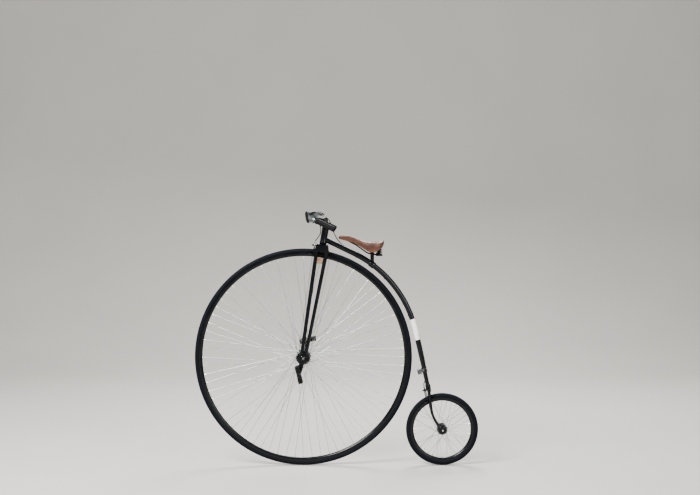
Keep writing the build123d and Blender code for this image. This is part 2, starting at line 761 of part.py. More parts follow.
# Grips and brake levers; the lever's body stands at the bar's forward bend, above its clamp
# Columns of the body's outline in side view: back from the front hub, up from it
# Columns of the blade's route: towards the fingers from the bar, back along the grip
grip_length = 116.0
grip_radius = 16.0
grip_end = 4.0
lever_at = 132.0
ring_length = 16.0
ring_radius = 16.0
body_outline = ((18, 850), (36, 853), (64, 847), (84, 834), (82, 814), (62, 806), (54, 794),
                (34, 784), (24, 800))
body_inside = 216.0
body_width = 20.0
blade_up = 0.8
blade_out = 0.6
blade_points = ((30, -30), (52, -8), (64, 20), (66, 50))
blade_bends = (30, 30)
lever_blade = 4.5
for name, way in left_and_right:
    bar_end = from_hub((bar_half[3][0], way * bar_half[3][1], bar_half[3][2]))
    before = from_hub((bar_half[2][0], way * bar_half[2][1], bar_half[2][2]))
    grip_line = (bar_end - before).normalized()
    with BuildPart() as grip:
        straight_bar(bar_end - grip_line * grip_length, bar_end + grip_line * grip_end, grip_radius)
        add(handlebar.part, mode=Mode.SUBTRACT)
    grip.part.label = f"grip_{name}"
    export_step(grip.part, f"parts/grip_{name}.step")

    outwards = Vector(-grip_line.Y * way, grip_line.X * way, 0).normalized()
    upwards = grip_line.cross(outwards) * way
    reach_to = (upwards * blade_up + outwards * blade_out).normalized()
    ring = bar_end - grip_line * lever_at
    with BuildPart() as lever:
        straight_bar(ring - grip_line * (ring_length / 2), ring + grip_line * (ring_length / 2), ring_radius)
        with BuildSketch(side.offset(-way * (body_inside + body_width / 2))) as body:
            with BuildLine():
                Polyline(*body_outline, close=True)
            make_face()
        extrude(body.sketch, amount=body_width / 2, both=True)
        mitred([ring + reach_to * out + grip_line * back for out, back in blade_points],
               blade_bends, lever_blade, wire_sides)
        add(handlebar.part, mode=Mode.SUBTRACT)
    lever.part.label = f"brake_lever_{name}"
    export_step(lever.part, f"parts/brake_lever_{name}.step")

# Side-pull brakes: in front of the fork crown and in front of the rear fork crown
# The front pivot is measured up the steering axis and ahead of it, the rear one ahead of the crown's middle.
# drop: from the pivot down to the rim's side, half_rim: half of the rim's width
Brake = namedtuple("Brake", "name plane drop half_rim pad_length")
forwards = Vector(-cos(radians(arc_to)), 0, -sin(radians(arc_to)))
crowns = {"front": fork_crown, "rear": rear_fork_crown}
calipers = {}
front_pivot_up = 655.0
front_pivot_ahead = 36.0
rear_pivot_ahead = 12.0
front_pivot = hub_centre + steer_up * front_pivot_up - steer_back * front_pivot_ahead
rear_pivot = crown_centre + forwards * rear_pivot_ahead
brakes = (
    Brake("front", Plane(origin=front_pivot, x_dir=(0, -1, 0), z_dir=-steer_back), 54, 12.5, 46),
    Brake("rear", Plane(origin=rear_pivot, x_dir=(0, -1, 0), z_dir=forwards), 70, 14.0, 40),
)
pivot_radius = 5.0
pivot_length = 32.0
arm_width = 9.0
arm_thickness = 5.0
arm_layer = 6.0
arm_horn = (26, 16)
arm_shoulder = (34, -14)
arm_elbow = (36, 10)
arm_beyond_pad = 4.0
pad_gap = 5.0
pad_depth = 8.0
pad_height = 12.0
for brake in brakes:
    pad_x = brake.half_rim + pad_gap
    with BuildPart() as caliper:
        with BuildSketch(brake.plane.offset(-arm_layer)):
            RegularPolygon(pivot_radius, wire_sides)
        extrude(amount=pivot_length)
        for lean, layer in ((1, arm_layer), (-1, arm_layer + arm_thickness)):
            with BuildSketch(brake.plane.offset(layer)):
                with BuildLine():
                    Polyline((-lean * arm_horn[0], arm_horn[1]), (0, 0),
                             (lean * arm_shoulder[0], arm_shoulder[1]),
                             (lean * arm_elbow[0], arm_elbow[1] - brake.drop),
                             (lean * (pad_x + pad_depth + arm_beyond_pad), -brake.drop))
                trace(line_width=arm_width)
            extrude(amount=arm_thickness)
        add(crowns[brake.name].part, mode=Mode.SUBTRACT)
    calipers[brake.name] = caliper
    caliper.part.label = f"{brake.name}_caliper"
    export_step(caliper.part, f"parts/{brake.name}_caliper.step")

    with BuildPart() as pads:
        for lean in (-1, 1):
            with BuildSketch(brake.plane.offset(arm_layer + arm_thickness - brake.pad_length / 2)):
                with Locations((lean * (pad_x + pad_depth / 2), -brake.drop)):
                    Rectangle(pad_depth, pad_height)
            extrude(amount=brake.pad_length)
    pads.part.label = f"{brake.name}_brake_pads"
    export_step(pads.part, f"parts/{brake.name}_brake_pads.step")

# Brake cables, each held from its lever to its brake
# Columns of the routes: back from the front hub, to the right, up from the hub
cable_radius = 2.5
spine_offset = 24.0
spine_side = 55.0
cable_arc = spine_radius + spine_offset * cos(radians(spine_side))
cable_y = spine_offset * sin(radians(spine_side))
cable_from = 67.0


def cable_radii(route):
    """The arc at each corner, as large as its two straight runs allow."""
    radii = []
    for before, corner, after in zip(route, route[1:], route[2:]):
        turn = (corner - before).get_angle(after - corner)
        shorter = min((corner - before).length, (after - corner).length)
        radii.append(0.45 * shorter / tan(radians(turn / 2)))
    return radii


def beside_spine(angle):
    """Point beside the round part of the backbone, at an angle round the front wheel."""
    return (cable_arc * cos(radians(angle)), cable_y, cable_arc * sin(radians(angle)))


def beside_taper(along, back, across_tube):
    """Point beside the straight part of the backbone, measured along, behind and across it."""
    lean = radians(arc_to)
    return (arc_end[0] + along * sin(lean) + back * cos(lean), across_tube,
            arc_end[1] - along * cos(lean) + back * sin(lean))


front_route = ((32, -body_inside, 838), (32, -180, 838), (38, -134, 837), (62, -94, 825), (88, -64, 798),
               (103, -43, 762), (103, -35, 726), (88, -32, 700), (73, -29, 684), (66, -26, 671))
loop_route = ((32, body_inside, 838), (32, 180, 838), (38, 134, 837), (58, 94, 834), (88, 62, 830),
              (124, 40, 824), (154, 30, 798), (166, 24, 758), (182, 22, 716), (200, 20, 684),
              (232, 19.5, 650), beside_spine(cable_from))
# The rear cable follows the backbone's arc, goes on straight, then bends to the brake.
# Columns: along the backbone's straight part, behind it, to the right
taper_rows = ((212, cable_arc - spine_radius, cable_y), (258, 7, 20.5), (290, -8, 23),
              (312, -20, 25), (328, -25.5, 26))
taper_route = [beside_spine(arc_to)] + [beside_taper(*row) for row in taper_rows]
beside = Plane(origin=hub_centre + Vector(0, cable_y, 0), x_dir=(1, 0, 0), z_dir=(0, -1, 0))
met = {"front_cable": calipers["front"], "rear_cable": calipers["rear"]}
for name, route in (("front_cable", front_route), ("rear_cable", taper_route),
                    ("rear_cable_loop", loop_route)):
    points = [from_hub(point) for point in route]
    radii = cable_radii(points)
    with BuildPart() as cable:
        with BuildLine() as path:
            if name == "rear_cable":
                with BuildLine(beside):
                    CenterArc((0, 0), cable_arc, cable_from, arc_to - cable_from)
            FilletPolyline(*points, radius=radii)
        with BuildSketch(Plane(origin=path.line @ 0, z_dir=path.line % 0)) as section:
            RegularPolygon(cable_radius, cable_sides)
        sweep(section.sketch, path=path.line)
        add(met[name].part, mode=Mode.SUBTRACT)
    met["rear_cable_loop"] = cable
    cable.part.label = name
    export_step(cable.part, f"parts/{name}.step")
    length = sum(piece.length for piece in path.edges())
    print(name, "radii", [round(radius) for radius in radii], "length", round(length), "volume",
          round(cable.part.volume), "section times length", round(section.sketch.area * length))

# Clips that hold the rear cable beside the backbone: a band round the tube, with a lug round the cable
clip_angles = (62.0, 44.0, 28.0, 21.5)
clip_wall = 2.0
clip_fit = 0.05
clip_width = 8.0
lug_length = 13.0
lug_width = 9.0
with BuildPart() as cable_clips:
    for angle in clip_angles:
        with BuildSketch(spine_plane(angle)):
            RegularPolygon(spine_tube + clip_wall, tube_sides)
            with PolarLocations(spine_offset - cable_radius, 1, start_angle=90 - spine_side):
                Rectangle(lug_length, lug_width)
            RegularPolygon(spine_tube + clip_fit, tube_sides, mode=Mode.SUBTRACT)
            with Locations((cable_y, cable_arc - spine_radius)):
                RegularPolygon(cable_radius + clip_fit, cable_sides, mode=Mode.SUBTRACT)
        extrude(amount=clip_width / 2, both=True)
cable_clips.part.label = "cable_clips"
export_step(cable_clips.part, "parts/cable_clips.step")
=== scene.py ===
# %% [markdown]
# # A penny farthing bicycle
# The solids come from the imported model, which fixes every place and every joint.
# This file dresses them: each piece is a smooth surface worked out with numpy,
# laid over its solid and given a finish. Sizes are in millimetres, measured from
# the front hub, because that is how the bicycle itself is laid out.

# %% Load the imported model
import bmesh
import bpy
import numpy as np
from math import cos, pi, radians, sin, tan
from types import SimpleNamespace
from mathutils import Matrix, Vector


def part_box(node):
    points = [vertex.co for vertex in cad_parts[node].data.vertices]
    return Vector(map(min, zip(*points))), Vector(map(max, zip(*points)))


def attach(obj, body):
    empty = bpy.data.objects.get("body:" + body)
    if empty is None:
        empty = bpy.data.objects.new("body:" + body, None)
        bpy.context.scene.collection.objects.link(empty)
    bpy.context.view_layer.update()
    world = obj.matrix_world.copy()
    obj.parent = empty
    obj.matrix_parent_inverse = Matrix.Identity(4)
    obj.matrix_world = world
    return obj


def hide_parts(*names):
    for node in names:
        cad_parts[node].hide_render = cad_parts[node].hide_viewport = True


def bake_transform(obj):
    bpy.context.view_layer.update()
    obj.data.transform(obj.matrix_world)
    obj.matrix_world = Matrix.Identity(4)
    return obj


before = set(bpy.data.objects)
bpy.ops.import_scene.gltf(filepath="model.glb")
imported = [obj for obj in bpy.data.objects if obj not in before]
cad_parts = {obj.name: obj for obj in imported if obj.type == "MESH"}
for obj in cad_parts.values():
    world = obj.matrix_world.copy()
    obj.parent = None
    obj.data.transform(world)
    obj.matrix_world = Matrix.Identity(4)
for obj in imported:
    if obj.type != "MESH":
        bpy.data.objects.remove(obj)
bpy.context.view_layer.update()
mm = 0.001

# %% [markdown]
# Three centres and one slanted axis place everything. The wheels' boxes give the
# hubs and the radii. The steering axis passes through the front hub and leans back,
# so pieces that steer are measured along it and square to it.

# %% Centres and directions


def centre_of(node):
    """Middle of a node's box, in millimetres."""
    low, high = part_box(node)
    return (np.array(low) + np.array(high)) / 2 / mm


hub = centre_of("front_axle")
rear = centre_of("rear_axle")
floor_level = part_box("front_tyre")[0][2] / mm
front_radius = hub[2] - floor_level
rear_radius = rear[2] - floor_level

rake = radians(9.8)
steer_up = np.array([sin(rake), 0, cos(rake)])
steer_back = np.array([cos(rake), 0, -sin(rake)])
right = np.array([0.0, 1.0, 0.0])
up = np.array([0.0, 0.0, 1.0])
back = np.array([1.0, 0.0, 0.0])
left_and_right = (("left", -1), ("right", 1))


def from_hub(points):
    """Points measured back, to the right and up from the front hub."""
    return hub + np.asarray(points, float)


def steered(points):
    """Points measured back, to the right and up along the steering axis, from the front hub."""
    points = np.asarray(points, float)
    return hub + points[..., :1] * steer_back + points[..., 1:2] * right + points[..., 2:] * steer_up


print("front wheel", front_radius, "rear wheel", rear_radius, "floor", floor_level)

# %% [markdown]
# ## Surfaces
# Every piece is built from a few kinds of surface, each a grid of points. A lathe
# turns a profile round an axis. A carried section follows a path, as a tube does.
# A plate gives an outline its depth. Whole grids are computed at once as arrays.

# %% Grids, sections, lathes, tubes and plates


def unit(vectors):
    """Vectors divided by their length."""
    vectors = np.asarray(vectors, float)
    return vectors / np.linalg.norm(vectors, axis=-1, keepdims=True)


def grid(points, around=True, along=False, caps=True):
    """Faces for a grid of rows: point (i, j) joins (i, j + 1), (i + 1, j) and (i + 1, j + 1).

    around joins the last column to the first, along joins the last row to the first,
    and caps closes the first and last rows with a fan round their middle.
    """
    rows, columns = points.shape[:2]
    i, j = np.meshgrid(np.arange(rows if along else rows - 1),
                       np.arange(columns if around else columns - 1), indexing="ij")
    next_i, next_j = (i + 1) % rows, (j + 1) % columns
    quads = np.stack([i * columns + j, next_i * columns + j,
                      next_i * columns + next_j, i * columns + next_j], -1).reshape(-1, 4)
    flat = points.reshape(-1, 3)
    triangles = np.zeros((0, 3), int)
    if caps and not along:
        first = np.arange(columns)
        second = (first + 1) % columns
        last = (rows - 1) * columns
        middles = np.stack([points[0].mean(0), points[-1].mean(0)])
        start = np.stack([np.full(columns, len(flat)), first, second], -1)
        end = np.stack([np.full(columns, len(flat) + 1), last + second, last + first], -1)
        flat = np.concatenate([flat, middles])
        triangles = np.concatenate([start, end])
    return flat, quads, triangles


def lathe(profile, origin, axis, segments=64, ring=False):
    """Surface of revolution: origin + axis * along + radius * (u cos t + v sin t).

    profile lists (along, radius); ring closes it on itself, for a shape with a hole.
    """
    profile = np.asarray(profile, float)
    axis = unit(axis)
    helper = up if abs(axis[2]) < 0.9 else back
    u = unit(np.cross(axis, helper))
    v = np.cross(axis, u)
    turn = np.arange(segments) * 2 * pi / segments
    circle = np.cos(turn)[:, None] * u + np.sin(turn)[:, None] * v
    points = (np.asarray(origin) + profile[:, None, :1] * axis
              + profile[:, None, 1:] * circle[None])
    return grid(points, along=ring)


def oval(width, height, count=24, power=2.0):
    """Closed section (x, y) = (width cos t, height sin t), squarer as power grows past 2."""
    turn = np.arange(count) * 2 * pi / count
    x, y = np.cos(turn), np.sin(turn)
    return np.stack([width * np.sign(x) * np.abs(x) ** (2 / power),
                     height * np.sign(y) * np.abs(y) ** (2 / power)], -1)


def carry(path, section, reference=right, sizes=None, caps=True, closed=False):
    """A section carried along a path: point (i, j) is path_i + size_i * (x_j n_i + y_j b_i).

    n is square to the path and to the reference direction, and b to the path and n.
    """
    path = np.asarray(path, float)
    tangent = unit(np.gradient(path, axis=0))
    normal = unit(np.cross(reference, tangent))
    binormal = np.cross(tangent, normal)
    sizes = np.ones(len(path)) if sizes is None else np.asarray(sizes, float)
    points = path[:, None] + sizes[:, None, None] * (
        section[None, :, :1] * normal[:, None] + section[None, :, 1:] * binormal[:, None])
    return grid(points, along=closed, caps=caps and not closed)


def run(start, end, count=2):
    """Points evenly spaced on a straight line."""
    return np.linspace(start, end, count)


def rounded(route, radii, steps=10):
    """A route whose corners are arcs: start + r sin a d + r (1 - cos a) n, a from 0 to the turn."""
    route = np.asarray(route, float)
    pieces = [route[:1]]
    for before, corner, after, radius in zip(route, route[1:], route[2:], radii):
        into, out = unit(corner - before), unit(after - corner)
        turn = np.arccos(np.clip(into @ out, -1, 1))
        sideways = unit(out - (into @ out) * into)
        a = np.linspace(0, turn, steps)[:, None]
        start = corner - into * radius * tan(turn / 2)
        pieces.append(start + radius * np.sin(a) * into + radius * (1 - np.cos(a)) * sideways)
    pieces.append(route[-1:])
    return np.concatenate(pieces)


def smooth_line(points, steps=8):
    """Curve through points: Catmull-Rom cubics, with the end points doubled."""
    points = np.asarray(points, float)
    padded = np.concatenate([2 * points[:1] - points[1:2], points, 2 * points[-1:] - points[-2:-1]])
    t = np.linspace(0, 1, steps, endpoint=False)[None, :, None]
    p0, p1, p2, p3 = (padded[k:len(padded) - 3 + k, None] for k in range(4))
    curve = 0.5 * (2 * p1 + (p2 - p0) * t + (2 * p0 - 5 * p1 + 4 * p2 - p3) * t**2
                   + (3 * p1 - p0 - 3 * p2 + p3) * t**3)
    return np.concatenate([curve.reshape(-1, points.shape[1]), points[-1:]])


def plate(outline, origin, x_axis, y_axis, low, high):
    """An outline (x, y) given depth: its two faces lie at low and high along x_axis cross y_axis."""
    outline = np.asarray(outline, float)
    x_axis, y_axis = unit(x_axis), unit(y_axis)
    depth = np.cross(x_axis, y_axis)
    flat = np.asarray(origin) + outline[:, :1] * x_axis + outline[:, 1:] * y_axis
    low = np.broadcast_to(low, len(outline))[:, None]
    high = np.broadcast_to(high, len(outline))[:, None]
    points = np.concatenate([flat + low * depth, flat + high * depth])
    count = len(outline)
    i = np.arange(count)
    j = (i + 1) % count
    quads = np.stack([i, j, count + j, count + i], -1)
    return points, quads, [list(range(count))[::-1], list(range(count, 2 * count))]


def chamfered(low, high, bore, radius, cut_along=1.0, cut_in=1.0):
    """Profile (along, radius) of a ring from low to high, whose two outer edges are cut back."""
    return [(low, bore), (low, radius - cut_in), (low + cut_along, radius),
            (high - cut_along, radius), (high, radius - cut_in), (high, bore)]


def moved_copies(surface, origins, x_axes, y_axes, z_axes):
    """One small surface repeated in many frames: origin + x X + y Y + z Z for each of them."""
    points, quads, others = surface
    copies = len(origins)
    placed = (origins[:, None] + points[None, :, :1] * x_axes[:, None]
              + points[None, :, 1:2] * y_axes[:, None] + points[None, :, 2:] * z_axes[:, None])
    shift = (np.arange(copies) * len(points))[:, None, None]
    return (placed.reshape(-1, 3), (quads[None] + shift).reshape(-1, 4),
            (np.asarray(others)[None] + shift).reshape(-1, 3))


# %% [markdown]
# A piece joins its surfaces in one mesh. Faces must point outwards, so each surface's
# signed volume is measured, and a surface that is inside out is turned round. Edges
# sharper than an angle stay crisp, and the rest is shaded smooth.


def add_object(name, data):
    """An object at the origin that shows some data, in the scene."""
    added = bpy.data.objects.new(name, data)
    bpy.context.scene.collection.objects.link(added)
    return added


def outwards(surface):
    """The surface turned so that its signed volume, the sum of a . (b x c) + a . (c x d), is positive."""
    points, quads, others = surface
    a, b, c, d = np.moveaxis(points[quads] - points.mean(0), 1, 0)
    volume = np.sum(a * np.cross(b, c)) + np.sum(a * np.cross(c, d))
    faces = [list(face) for face in others]
    if volume < 0:
        return points, quads[:, ::-1], [face[::-1] for face in faces]
    return points, quads, faces


def make_piece(name, surfaces, material, body, nodes=(), sharp=38, bevel=None, merge=False):
    """Builds one object from surfaces given in millimetres, with its material and its body.

    nodes are the solids that it replaces, bevel rounds the edges sharper than sharp degrees
    by a distance, and merge joins points that fall together.
    """
    points, faces, count = [], [], 0
    for surface in surfaces:
        flat, quads, others = outwards(surface)
        faces += (quads + count).tolist()
        faces += [[corner + count for corner in face] for face in others]
        points.append(flat)
        count += len(flat)
    mesh = bpy.data.meshes.new(name)
    mesh.from_pydata(np.concatenate(points) * mm, [], faces)
    if merge:
        joined = bmesh.new()
        joined.from_mesh(mesh)
        bmesh.ops.remove_doubles(joined, verts=joined.verts, dist=0.01 * mm)
        joined.to_mesh(mesh)
        joined.free()
    mesh.shade_smooth()
    mesh.set_sharp_from_angle(angle=radians(sharp))
    mesh.materials.append(material)
    piece = add_object(name, mesh)
    if bevel:
        edges = piece.modifiers.new("Rounded edges", "BEVEL")
        edges.width = bevel * mm
        edges.segments = 3
        edges.limit_method = "ANGLE"
        edges.angle_limit = radians(sharp)
        edges.harden_normals = True
    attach(piece, body)
    if nodes:
        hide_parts(*nodes)
    print(name, len(faces), "faces")
    return piece


# %% [markdown]
# ## The camera
# The photograph looks at the bicycle's left side from about the height of the
# handlebar, from some 7.5 metres away. A long lens keeps the big wheel round.

# %% Camera
camera_data = bpy.data.cameras.new("Camera")
camera_data.lens = 66.1
camera_data.sensor_width = 36
looks_down = radians(1.67)
camera = add_object("Camera", camera_data)
camera.location = (-0.1275, -7.5, 0.184)
camera.rotation_euler = (pi / 2 - looks_down, 0, 0)
bpy.context.scene.camera = camera

# %% [markdown]
# ## Finishes
# A colour is written as its sRGB hex code, as a paint card gives it, and one function
# turns it to linear. A pattern's scale is worked out from a real size: noise that
# repeats every `size` millimetres has a scale of 1000 / size in a scene in metres.

# %% Helpers for materials


def linear(code):
    """sRGB hex code to linear colour: ((c + 0.055) / 1.055) ** 2.4, or c / 12.92 near black."""
    values = np.array([int(code[k:k + 2], 16) for k in (1, 3, 5)]) / 255
    values = np.where(values > 0.04045, ((values + 0.055) / 1.055) ** 2.4, values / 12.92)
    return (*values.tolist(), 1.0)


def per_metre(size):
    """Scale of a pattern whose detail is as large as size, in millimetres."""
    return 1 / (size * mm)


def add_node(tree, kind, settings=(), links=()):
    """Adds a node; settings set its properties or sockets, links join its sockets to others."""
    node = tree.nodes.new(kind)
    for key, value in dict(settings).items():
        if isinstance(key, int) or key in node.inputs:
            node.inputs[key].default_value = value
        else:
            setattr(node, key, value)
    for key, source in dict(links).items():
        tree.links.new(source, node.inputs[key])
    return node


def finish(name, slot, blotches, tones, rough=None, grain=None, ramp=(0.35, 0.65), **sockets):
    """A Principled material made uneven by noise. The slot argument is not used.

    blotches is a pattern: size in millimetres, detail, roughness. As its value rises from
    one place of the ramp to the other, the colour runs from the first tone to the second, and the
    roughness runs between two values too. grain is a finer pattern, raised: its size, its
    detail, its full height in millimetres and its strength. sockets are set by name.
    """
    material = bpy.data.materials.new(name)
    material.use_nodes = True
    tree = material.node_tree
    shader = tree.nodes["Principled BSDF"]
    for key, value in sockets.items():
        shader.inputs[key.replace("_", " ")].default_value = value
    where = {"Vector": add_node(tree, "ShaderNodeTexCoord").outputs["Object"]}
    size, detail, roughness = blotches
    pattern = add_node(tree, "ShaderNodeTexNoise",
                       {"Scale": per_metre(size), "Detail": detail, "Roughness": roughness}, where)
    tint = add_node(tree, "ShaderNodeValToRGB", links={"Fac": pattern.outputs["Fac"]})
    for stop, position, tone in zip(tint.color_ramp.elements, ramp, tones):
        stop.position = position
        stop.color = linear(tone)
    tree.links.new(tint.outputs["Color"], shader.inputs["Base Color"])
    if rough:
        span = add_node(tree, "ShaderNodeMapRange",
                        {"From Min": 0.3, "From Max": 0.7, "To Min": rough[0], "To Max": rough[1]},
                        {"Value": pattern.outputs["Fac"]})
        tree.links.new(span.outputs["Result"], shader.inputs["Roughness"])
    if grain:
        size, detail, depth, strength = grain
        fine = add_node(tree, "ShaderNodeTexNoise", {"Scale": per_metre(size), "Detail": detail}, where)
        bump = add_node(tree, "ShaderNodeBump", {"Strength": strength, "Distance": depth * mm},
                        {"Height": fine.outputs["Fac"]})
        tree.links.new(bump.outputs["Normal"], shader.inputs["Normal"])
    return material


# %% [markdown]
# Black stove enamel covers the frame, the fork, the rims and the hubs. It is sprayed
# and baked, so it is deep and glossy with a faint orange peel, and handling and road
# dust leave duller patches. The white band is painted in the same way.

# %% Stove enamel
# Both tones of this black are tinted blue: a painted bluish cast of the light on the black enamel of frame, fork,
# rims and hubs.
enamel = finish("black_stove_enamel", "black_paint", (70, 6, 0.6), ("#020408", "#070a11"),
                rough=(0.16, 0.36), grain=(2.5, 2, 0.05, 0.5), IOR=1.45, Specular_IOR_Level=0.35,
                Coat_Weight=0.25, Coat_Roughness=0.08)
white = finish("white_enamel_band", "black_paint", (14, 8, 0.7), ("#d6d3cc", "#f4f2ee"),
               rough=(0.25, 0.42), ramp=(0.25, 0.5), IOR=1.5, Coat_Weight=0.4, Coat_Roughness=0.1)

# %% [markdown]
# The tyres are solid moulded rubber. New rubber is nearly black and matt. Road dust
# greys it in soft patches, and a fine grain from the mould scatters the light. Grips,
# pedal blocks and brake blocks are a little glossier, where hands and shoes rub them.
# The cables' vinyl housing is smoother still.

# %% Rubber and vinyl
# The dust patches are real, but the blue in both tones is a painted bluish sheen of the light on the black rubber.
rubber = finish("solid_tyre_rubber", "tyre_rubber", (55, 8, 0.65), ("#04070d", "#0e131d"),
                rough=(0.55, 0.82), grain=(1.6, 4, 0.25, 0.6), ramp=(0.3, 0.8), IOR=1.52,
                Specular_IOR_Level=0.2)
moulded = finish("moulded_rubber", "moulded_rubber", (16, 6, 0.5), ("#08080a", "#151518"),
                 rough=(0.5, 0.75), grain=(1.2, 3, 0.15, 0.6), IOR=1.5, Specular_IOR_Level=0.25)
housing_vinyl = finish("cable_housing_vinyl", "moulded_rubber", (12, 5, 0.5), ("#0d0e10", "#1e1f22"),
                       rough=(0.28, 0.45), IOR=1.52)

# %% [markdown]
# Spokes are drawn stainless wire: bright, with fine marks along the wire. Spindles and
# nipples are plated steel, brighter and smoother still. Most bolts, nuts and cotters are
# blackened in hot oil: dark, satin, brown where they wear.

# %% Wire, plated and blackened steel
wire = finish("drawn_stainless_wire", "bright_steel", (45, 2, 0.5), ("#97989a", "#b6b7b6"),
              rough=(0.24, 0.34), Metallic=1.0)
plated = finish("bright_plated_steel", "bright_steel", (9, 6, 0.5), ("#b9bab6", "#e9e9e4"),
                rough=(0.12, 0.3), grain=(9, 6, 0.03, 0.4), Metallic=1.0)
blackened = finish("oil_blackened_steel", "bright_steel", (7, 6, 0.5), ("#191a1c", "#3a3835"),
                   rough=(0.3, 0.5), Metallic=0.85)

# %% [markdown]
# The brake bodies and the step are cast and tumbled aluminium. It is pale and satin,
# a little darker where hands and dirt settle in its fine pitting. The plates that tie
# the fork's tubes show their bronze, dulled by the weather.

# %% Tumbled aluminium and bronze
alloy = finish("tumbled_aluminium", "alloy", (22, 6, 0.5), ("#606365", "#8e9294"),
               rough=(0.32, 0.5), grain=(1.8, 5, 0.08, 0.6), Metallic=1.0)
bronze = finish("dull_bronze", "alloy", (14, 7, 0.6), ("#7d6553", "#b39a86"),
                rough=(0.42, 0.6), Metallic=0.7)

# %% [markdown]
# The saddle is thick oiled leather the colour of chestnut. Its pores are about a
# millimetre and a half apart, its creases a centimetre or two, and it is polished
# darker and lighter by use. Its thread is waxed linen, paler than the leather. The
# relief adds the pores' cells to the creases.

# %% Saddle leather and thread
leather = finish("oiled_saddle_leather", "brown_leather", (38, 9, 0.62), ("#3a231b", "#694435"),
                 rough=(0.36, 0.56), ramp=(0.3, 0.72), IOR=1.45, Coat_Weight=0.12, Coat_Roughness=0.35)
tree = leather.node_tree
where = {"Vector": tree.nodes["Texture Coordinate"].outputs["Object"]}
pores = add_node(tree, "ShaderNodeTexVoronoi", {"Scale": per_metre(1.7), "feature": "DISTANCE_TO_EDGE"}, where)
creases = add_node(tree, "ShaderNodeTexNoise", {"Scale": per_metre(11), "Detail": 5, "Distortion": 1.2}, where)
pore_walls = add_node(tree, "ShaderNodeMapRange", {"From Max": 0.16}, {"Value": pores.outputs["Distance"]})
hide = add_node(tree, "ShaderNodeMath", {"operation": "ADD"},
                {0: pore_walls.outputs["Result"], 1: creases.outputs["Fac"]})
bump = add_node(tree, "ShaderNodeBump", {"Strength": 0.7, "Distance": 0.28 * mm},
                {"Height": hide.outputs["Value"]})
tree.links.new(bump.outputs["Normal"], tree.nodes["Principled BSDF"].inputs["Normal"])

thread = finish("waxed_linen_thread", "brown_leather", (1, 2, 0.5), ("#a5744f", "#c99a72"), Roughness=0.7)

# %% [markdown]
# ## Wheels
# The tyre bulges over the rim's lips, so its section is a circle cut off where the
# rim begins, with two shallow grooves moulded in the tread. The rim is a rolled
# channel with a rounded back. Both are lathes round the axle.

# %% Tyres and rims
# lip and inner are the rim's outer and inner radius. The hub has a barrel, a flange on either
# side at flange_y with its spoke holes on a circle, and a collar out to end_y.
wheels = {
    "front": SimpleNamespace(centre=hub, radius=front_radius, tyre_width=28, rim_width=25, lip=613, inner=590,
                             barrel=19, flange=42, holes=36, flange_y=34, end_y=48.5, collar=14, bore=10.2,
                             spokes=72),
    "rear": SimpleNamespace(centre=rear, radius=rear_radius, tyre_width=34, rim_width=28, lip=188, inner=167,
                            barrel=15, flange=30, holes=26, flange_y=29, end_y=45.5, collar=10, bore=5.2,
                            spokes=36),
}
groove_angle, groove_width, groove_depth = 24, 4, 0.7


def tyre_profile(wheel):
    """Round section from lip to lip: (y, r) = (w sin a, middle + w cos a), with two tread grooves."""
    half = wheel.tyre_width / 2
    foot = wheel.rim_width / 2 - 2.5
    degrees = np.linspace(-112, 112, 57)
    grooves = [np.exp(-((degrees - at) / groove_width) ** 2) for at in (-groove_angle, groove_angle)]
    depth = half - groove_depth * sum(grooves)
    a = np.radians(degrees)
    section = np.stack([depth * np.sin(a), wheel.radius - half + depth * np.cos(a)], -1)
    return np.concatenate([[(-foot, wheel.lip - 3)], section, [(foot, wheel.lip - 3)]])


def rim_profile(wheel):
    """Rolled channel: lips 2.4 thick, straight walls, and a back that is half of an ellipse."""
    half, lip = wheel.rim_width / 2, wheel.lip
    depth = (lip - wheel.inner) * 0.55
    t = np.linspace(0, pi, 25)
    rolled_back = np.stack([half * np.cos(t), wheel.inner + depth - depth * np.sin(t)], -1)
    right_lip = [(half - 2.4, lip - 4), (half - 2.4, lip - 1), (half - 1.2, lip), (half, lip - 1)]
    left_lip = [(-y, r) for y, r in reversed(right_lip)]
    return np.concatenate([right_lip, rolled_back, left_lip])


for name, wheel in wheels.items():
    make_piece(f"{name}_rubber_tyre", [lathe(tyre_profile(wheel), wheel.centre, right, 288, ring=True)],
               rubber, f"{name}_wheel", [f"{name}_tyre"], sharp=60)
    make_piece(f"{name}_rolled_rim", [lathe(rim_profile(wheel), wheel.centre, right, 288, ring=True)],
               enamel, f"{name}_wheel", [f"{name}_rim"], sharp=50)

# %% [markdown]
# ## Spokes and hubs
# A spoke hooks through a flange, runs at a tangent to its hole in the rim and screws
# into a nipple there. Every other spoke belongs to the other flange, and on a flange
# every other one lies on the other face and leans the other way. One straight wire
# is made once along Z and stretched into all its places with array arithmetic.

# %% Spokes, nipples and hub shells
flange_half = 2.5
lacing = radians(60)
thin = 1.05
hook_length = 2 * flange_half + 2.4


def spoke_ends(wheel):
    """Hub end and rim end of every spoke, and the way its hook points through the flange."""
    number = np.arange(wheel.spokes)
    side = np.where(number % 2, 1, -1)
    pull = np.where(number // 2 % 2, 1, -1)
    at_rim = number * 2 * pi / wheel.spokes
    at_hub = at_rim - pull * lacing
    start = np.stack([wheel.holes * np.cos(at_hub), side * (wheel.flange_y + pull * (flange_half + 1.2)),
                      wheel.holes * np.sin(at_hub)], -1)
    end = np.stack([wheel.inner * np.cos(at_rim), side * 3.0, wheel.inner * np.sin(at_rim)], -1)
    return wheel.centre + start, wheel.centre + end, (side * pull)[:, None] * right


